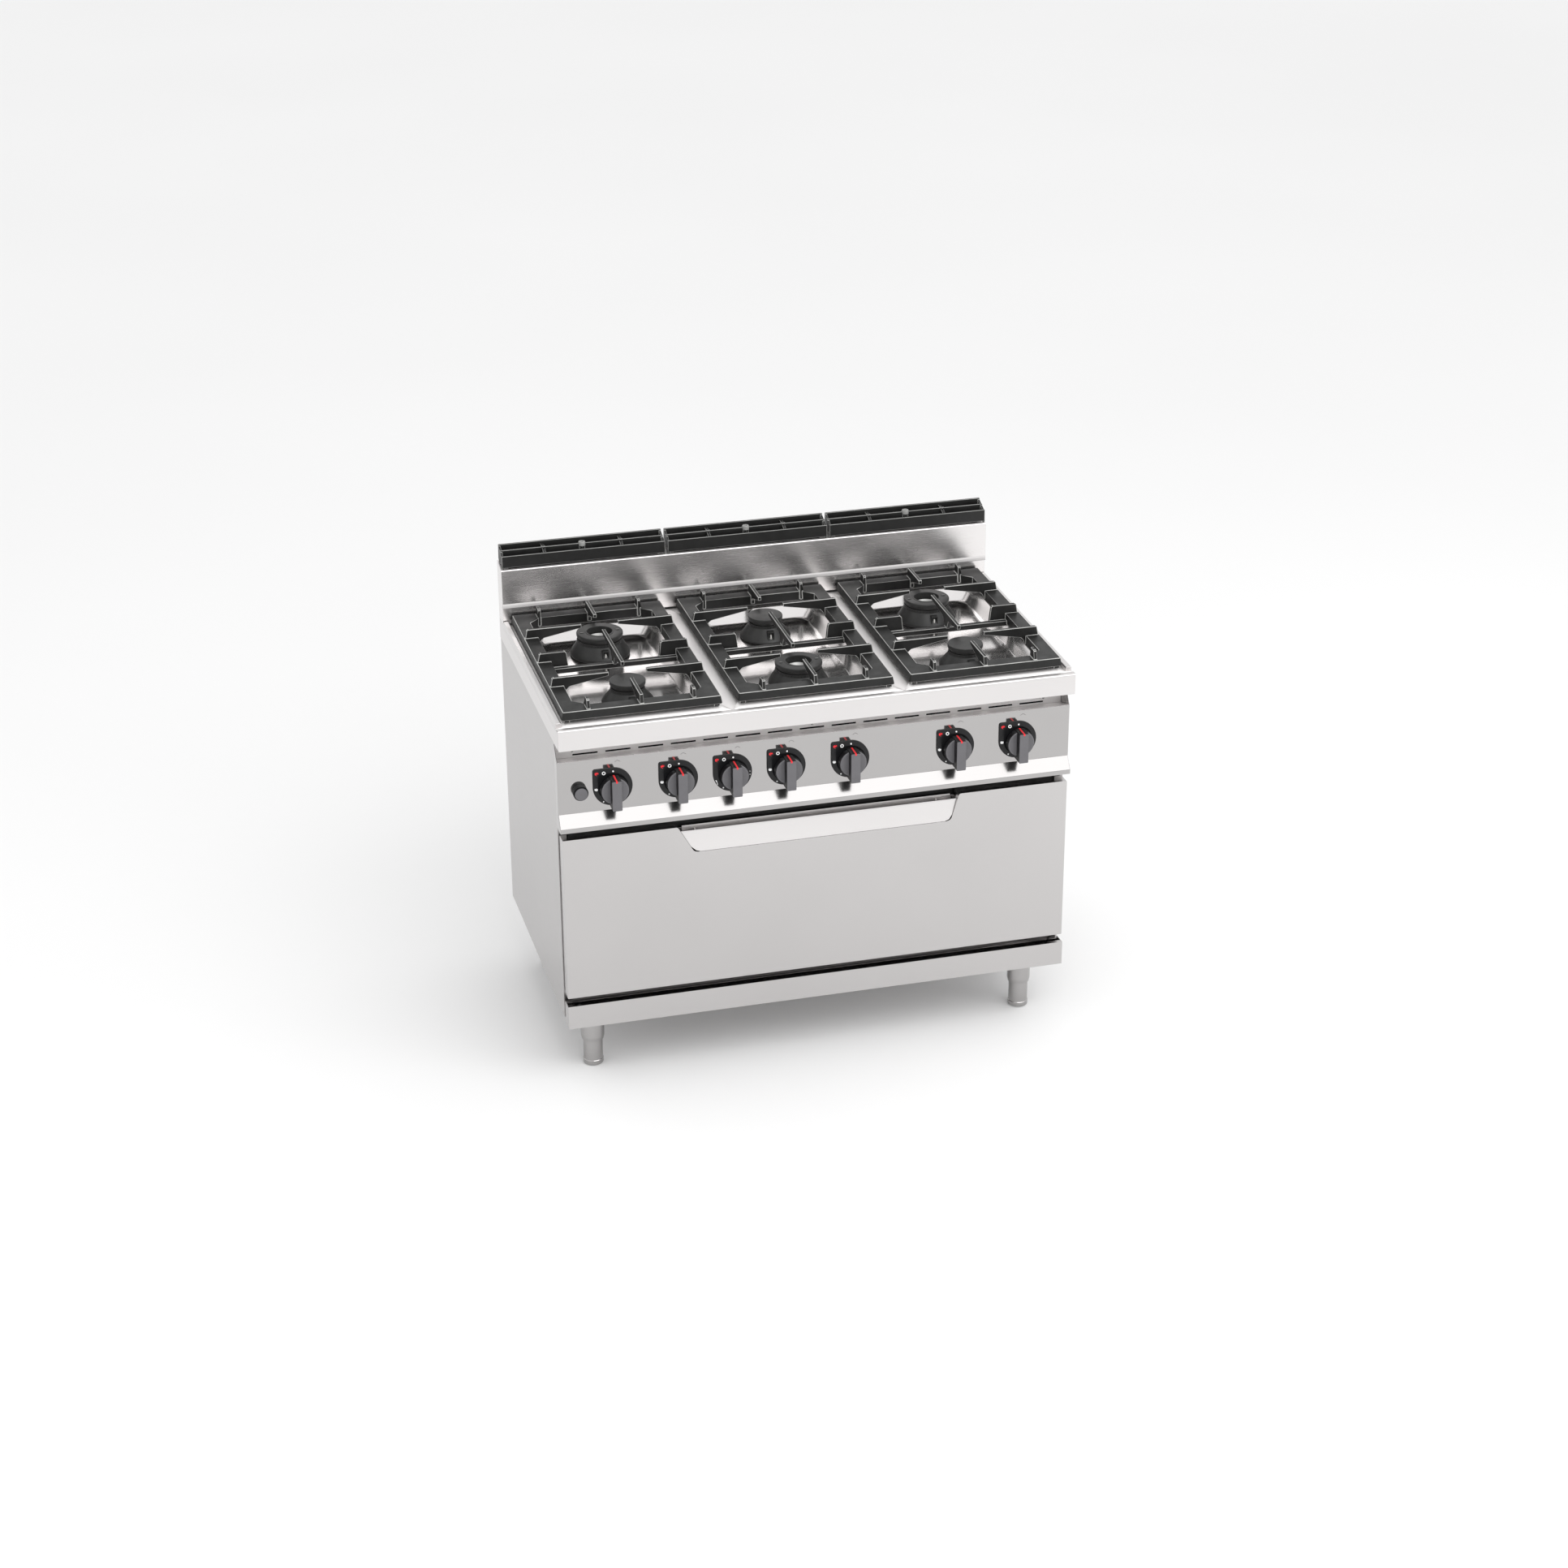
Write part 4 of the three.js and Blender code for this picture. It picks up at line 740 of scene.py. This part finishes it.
def igniter():
    """The igniter's collar and its domed push button."""
    low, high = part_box("igniter_collar")
    centre = ((low.x + high.x) / 2, high.y, (low.z + high.z) / 2)
    radius = (high.x - low.x) / 2
    length = high.y - low.y
    collar = filleted([
        (0.005, 0), (radius, 0), (radius, length), (radius - 0.0018, length), (radius - 0.0018, 0.004),
        (0.005, 0.004),
    ], [0, 0.001, 0.0006, 0.0006, 0, 0], closed=True)
    # The sleeve is made all of the darker plastic that paints shade on the knobs' sides.
    piece("igniter_sleeve", [turned([tuple(p) for p in collar], centre, "-Y", ring=True)], "knob_painted_shade",
          replaces=("igniter_collar",))
    b_low, b_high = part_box("igniter_button")
    tail = high.y - b_high.y
    face = high.y - b_low.y
    r = (b_high.x - b_low.x) / 2
    button = filleted([
        (0, tail), (0.0044, tail), (0.0044, 0.010), (r, 0.010), (r, face - 0.001), (r - 0.004, face),
        (0, face),
    ], [0, 0, 0, 0.001, 0.004, 0.002, 0], 8)
    push = piece("igniter_push", [turned([tuple(p) for p in button], centre, "-Y")], "knob", body="igniter",
                 replaces=("igniter_button",))
    # The button's faces that do not look to the front take the darker plastic: painted shade.
    shade_faces(push, "knob_painted_shade", lambda normal, centre: normal.y > -0.5)


RAIL_SCREW_REACH = 0.554


def rail_details():
    """A near-black sheet behind the vent slots, painted shade that darkens them, and the rail's three screws.
    """
    low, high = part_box("vent_rail")
    # A near-black sheet behind the slots: painted shade.
    slot_shade = block((low.x + 0.02, high.x - 0.02), (high.y + 0.004, high.y + 0.005),
                   (low.z + 0.002, high.z - 0.002))
    piece("rail_slot_shade", [slot_shade], "enamel")
    z = low.z + 0.022
    for i, x in enumerate((-RAIL_SCREW_REACH, 0.0, RAIL_SCREW_REACH)):
        head = turned([(0, 0.0012), (0.0018, 0.0011), (0.0028, 0)], (x, low.y, z), "-Y", sides=24)
        piece(f"rail_screw_{i + 1}", [head], "zinc")


def sheet_copy(name, node, look, bevel):
    """A copy of a sheet-metal CAD node with soft edges, so that its faces can differ in finish."""
    return piece(name, [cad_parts[node].data.copy()], look, replaces=(node,),
                 bevel=bevel)


def control_panel():
    """The panel: a polished upright face, a brushed ledge above it whose near-white steel paints light into
    the shade under the nosing, and a bright sloping nose.

    A plain skin lies over the upright face. It has no holes, so the stems and the igniter pass through it.
    """
    made = sheet_copy("panel_sheet", "control_panel", "panel", 0.0007)
    # Faces that look up take the near-white ledge steel: painted light.
    shade_faces(made, "ledge", lambda normal, centre: normal.z > 0.9)
    shade_faces(made, "nose", lambda normal, centre: normal.y < -0.2 and 0.2 < normal.z <= 0.9)
    upright = [
        made.data.vertices[i].co
        for face in made.data.polygons
        if face.normal.y < -0.9 and abs(face.center.y - PANEL_FACE) < 0.001
        for i in face.vertices
    ]
    across = [min(p.x for p in upright), max(p.x for p in upright)]
    up = [min(p.z for p in upright) + 0.0008, max(p.z for p in upright) - 0.0008]
    skin = block(across, (PANEL_FACE - 0.0002, PANEL_FACE + 0.0001), up)
    piece("panel_face", [skin], "panel")


LIP_RISE = (0.0305, 0.0435)           # the splashback's lip, from the top of the hob


def splashback():
    """The splashback: a polished front, the lip across it and a brushed top with its rounded edge."""
    made = sheet_copy("splashback_sheet", "splashback", "mirror", 0.0012)
    lip_bottom, lip_top = (HOB_HIGH.z + rise for rise in LIP_RISE)
    shade_faces(made, "mirror_top", lambda normal, centre: normal.z > 0.2 and centre.z > lip_top)
    shade_faces(made, "lip", lambda normal, centre: normal.y < 0.5 and lip_bottom < centre.z < lip_top)


# ---------- door ----------
HINGE_SLOT = (0.558, 0.588)           # where the hinge arms pass the door's bottom edge
NOTCH_SLOPES = {"left": 0.574, "right": 0.3}
TROUGH_DEPTH = 0.035
TROUGH_LEAN = 0.007


def door_skin():
    """The door's outer skin: a flat front with the tapered notch for the grip and folded edges."""
    low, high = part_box("door_outer_panel")
    grip_low, grip_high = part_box("door_grip")
    bottom = grip_low.z - 0.0004

    def side(sign, grip_reach, slope):
        """One half of the outline, from the hinge slot round to the notch's floor."""
        edge = grip_reach + 0.0004 + slope * (high.z - grip_high.z)
        notch = edge - slope * (high.z - bottom)
        line = [
            (HINGE_SLOT[0], low.z), (HINGE_SLOT[1], low.z), (high.x, low.z), (high.x, high.z),
            (edge, high.z), (notch, bottom),
        ]
        return [(sign * x, z) for x, z in line]

    radii = [0, 0, 0.002, 0.003, 0.006, 0.016]
    right = side(1, grip_high.x, NOTCH_SLOPES["right"])
    left = side(-1, -grip_low.x, NOTCH_SLOPES["left"])
    outline = filleted(right + left[::-1], radii + radii[::-1], 5, closed=True)
    count = len(outline)
    front = [(p.x, low.y, p.y) for p in outline]
    rear = [(p.x, high.y, p.y) for p in outline]
    faces = [tuple(range(count))]
    for i in range(count):
        a, b = outline[i], outline[(i + 1) % count]
        in_slot = a.y == b.y == low.z and HINGE_SLOT[0] < abs(a.x + b.x) / 2 < HINGE_SLOT[1]
        if not in_slot:
            faces.append((i, (i + 1) % count, (i + 1) % count + count, i + count))
    mesh = bpy.data.meshes.new("part")
    mesh.from_pydata(front + rear, [], faces)
    made = piece("door_skin", [mesh], "door", body="oven_door",
                 replaces=("door_outer_panel",))
    sheet = made.modifiers.new("sheet", "SOLIDIFY")
    sheet.thickness = 0.0012
    sheet.offset = -1
    soften(made, 0.0005, 3)


def trough_back():
    """The polished wall that leans back behind the finger trough, to just above the grip."""
    low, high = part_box("door_grip")
    top = high.z + 0.002
    bottom = high.z - TROUGH_DEPTH
    rear = high.y + 0.0005
    thick = 0.001
    wall = [
        (rear - TROUGH_LEAN - thick, bottom), (rear - thick, top), (rear, top), (rear - TROUGH_LEAN, bottom),
    ]
    piece("door_trough_back", [prism(wall, "X", low.x + 0.008, high.x - 0.008)], "grip", body="oven_door")


# ---------- legs and rack ----------
def leg(corner):
    """A foot of drawn tube in its sleeve."""
    node = f"foot_{corner}"
    low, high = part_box(node)
    centre = ((low.x + high.x) / 2, (low.y + high.y) / 2, 0)
    radius = (high.x - low.x) / 2
    line = filleted([
        (0, low.z), (radius - 0.003, low.z), (radius, low.z + 0.002), (radius, low.z + 0.012),
        (radius - 0.0012, low.z + 0.0135), (radius - 0.0012, high.z), (0, high.z),
    ], [0, 0.001, 0.0015, 0.0008, 0.0008, 0, 0])
    foot = turned([tuple(p) for p in line], centre)
    piece(f"{node}_tube", [foot], "leg", body=f"leg_{corner}",
          replaces=(node,))


def chassis():
    """The base tray and the four sleeves that the legs wind into."""
    low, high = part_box("base_frame")
    tray_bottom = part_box("left_side_panel")[0].z
    wall = 0.002
    tray = [
        block((low.x, high.x), (low.y, high.y), (tray_bottom, tray_bottom + wall)),
        block((low.x, high.x), (low.y, low.y + wall), (tray_bottom, high.z)),
        block((low.x, high.x), (high.y - wall, high.y), (tray_bottom, high.z)),
        block((low.x, low.x + wall), (low.y, high.y), (tray_bottom, high.z)),
        block((high.x - wall, high.x), (low.y, high.y), (tray_bottom, high.z)),
    ]
    piece("base_tray", tray, "side", replaces=("base_frame",), bevel=0.0005)
    for corner in LEG_CORNERS:
        foot_low, foot_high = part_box(f"foot_{corner}")
        centre = ((foot_low.x + foot_high.x) / 2, (foot_low.y + foot_high.y) / 2, 0)
        bore = (foot_high.x - foot_low.x) / 2 + 0.0005
        line = filleted([
            (bore, low.z), (bore + 0.0012, low.z), (bore + 0.003, low.z + 0.009), (bore + 0.003, tray_bottom),
            (bore, tray_bottom),
        ], [0, 0.0004, 0.003, 0, 0], closed=True)
        sleeve = turned([tuple(p) for p in line], centre, ring=True)
        piece(f"leg_sleeve_{corner}", [sleeve], "leg")


def rack():
    """The oven's wire rack: a stout rim and thin round cross wires."""
    low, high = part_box("oven_rack")
    z = (low.z + high.z) / 2
    thick = (high.z - low.z) / 2
    thin = 0.0016
    parts = []
    for y in (low.y + thick, (low.y + high.y) / 2, high.y - thick):
        rim = [(0, low.x), (thick, low.x), (thick, high.x), (0, high.x)]
        parts.append(turned(rim, (0, y, z), "X", sides=16))
    wires = 34
    for i in range(wires):
        x = low.x + thin + (high.x - low.x - 2 * thin) * i / (wires - 1)
        start, end = -high.y + thick, -low.y - thick
        parts.append(turned([(0, start), (thin, start), (thin, end), (0, end)], (x, 0, z), "-Y", sides=10))
    piece("rack_wires", parts, "wire", replaces=("oven_rack",))


# ---------- studio ----------
LIGHTS = [                            # name, place, width and height, watts
    ("overhead", (1.2, -3.3, 4.4), (5.0, 3.2), 110),
    ("key", (3.5, -2.5, 1.5), (1.5, 1.5), 12),
]
LENS = 71.75                          # mm, on a 36 mm sensor
YAW, PITCH, ROLL = 15.06, 24.85, -0.28
CAMERA_FROM_CORNER = (-1.146, -6.142, 3.664)


def area_light(name, place, aim, size, power):
    data = bpy.data.lights.new(name, "AREA")
    data.shape = "RECTANGLE"
    data.size, data.size_y = size
    data.energy = power
    made = bpy.data.objects.new(name, data)
    made.location = place
    made.rotation_euler = (Vector(aim) - Vector(place)).to_track_quat("-Z", "Y").to_euler()
    bpy.context.scene.collection.objects.link(made)


def studio():
    """A pale floor and soft light from all round.

    A big softbox hangs above the front, and a small key light stands low on the right.
    """
    size = 30.0
    corners = [(-size, -size, 0), (size, -size, 0), (size, size, 0), (-size, size, 0)]
    mesh = bpy.data.meshes.new("floor")
    mesh.from_pydata(corners, [], [(0, 1, 2, 3)])
    surface = Surface("floor_white", (0.88, 0.88, 0.88), 0.9)
    surface.mottled(surface.noise(0.4, 2.0), 0.01)
    mesh.materials.append(surface.material)
    floor = bpy.data.objects.new("floor", mesh)
    bpy.context.scene.collection.objects.link(floor)
    world = bpy.data.worlds.new("studio")
    world.use_nodes = True
    world.node_tree.nodes["Background"].inputs["Strength"].default_value = 1.0
    world.node_tree.nodes["Background"].inputs["Color"].default_value = (1, 1, 1, 1)
    bpy.context.scene.world = world
    bpy.context.scene.view_settings.view_transform = "Standard"
    middle = (CAD_LOW + CAD_HIGH) / 2
    for name, place, size, power in LIGHTS:
        area_light(name, place, middle, size, power)


def camera():
    """The camera at the photograph's angle: from the front, a little to the left, and from above."""
    data = bpy.data.cameras.new("camera")
    data.lens = LENS
    made = bpy.data.objects.new("camera", data)
    yaw, pitch, roll = (math.radians(a) for a in (YAW, PITCH, ROLL))
    corner = Vector((CAD_LOW.x, CAD_LOW.y, 0))
    made.location = corner + Vector(CAMERA_FROM_CORNER)
    ahead = Vector((math.sin(yaw) * math.cos(pitch), math.cos(yaw) * math.cos(pitch), -math.sin(pitch)))
    level = ahead.to_track_quat("-Z", "Y").to_matrix()
    made.rotation_euler = (level @ Matrix.Rotation(roll, 3, "Z")).to_euler()
    bpy.context.scene.collection.objects.link(made)
    bpy.context.scene.camera = made


hob()
for burner in ("left_rear", "centre_front", "right_rear"):
    ring_burner(burner)
for burner in ("left_front", "centre_rear", "right_front"):
    cap_burner(burner)
for knob_name in KNOBS:
    bezel(knob_name)
    knob(knob_name)
igniter()
rail_details()
door_skin()
trough_back()
for leg_corner in LEG_CORNERS:
    leg(leg_corner)
chassis()
rack()

for module in MODULES:
    casting(f"pan_support_{module}", f"grate_{module}", "grate", "grate_painted_highlight", f"pan_support_{module}",
            0.0012)
    flue_details(module)
    casting(f"flue_grating_{module}", f"flue_grille_{module}", "flue", "flue_painted_highlight", BODY, 0.001)
control_panel()
splashback()
# The vent rail takes the near-white steel of painted light.
finish_cad(["vent_rail"], "rail", 0.0004)
finish_cad(["plinth_panel", "door_inner_panel"], "door", 0.0007)
finish_cad(["left_side_panel", "right_side_panel", "back_panel"], "side")
finish_cad(["door_grip"], "grip", 0.0005)
finish_cad(["oven_cavity"], "enamel", 0.0008)
finish_cad(["oven_floor_plate"], "plate", 0.0008)
finish_cad(["gas_manifold"], "brass", 0.0005)
finish_cad(["gas_inlet", "oven_burner", "flue_duct", "door_hinge_left", "door_hinge_right"], "zinc")
finish_cad([f"valve_stem_{i}" for i in range(1, 8)], "zinc", 0.0003)
finish_cad(["door_gasket"], "gasket", 0.001)

studio()
camera()
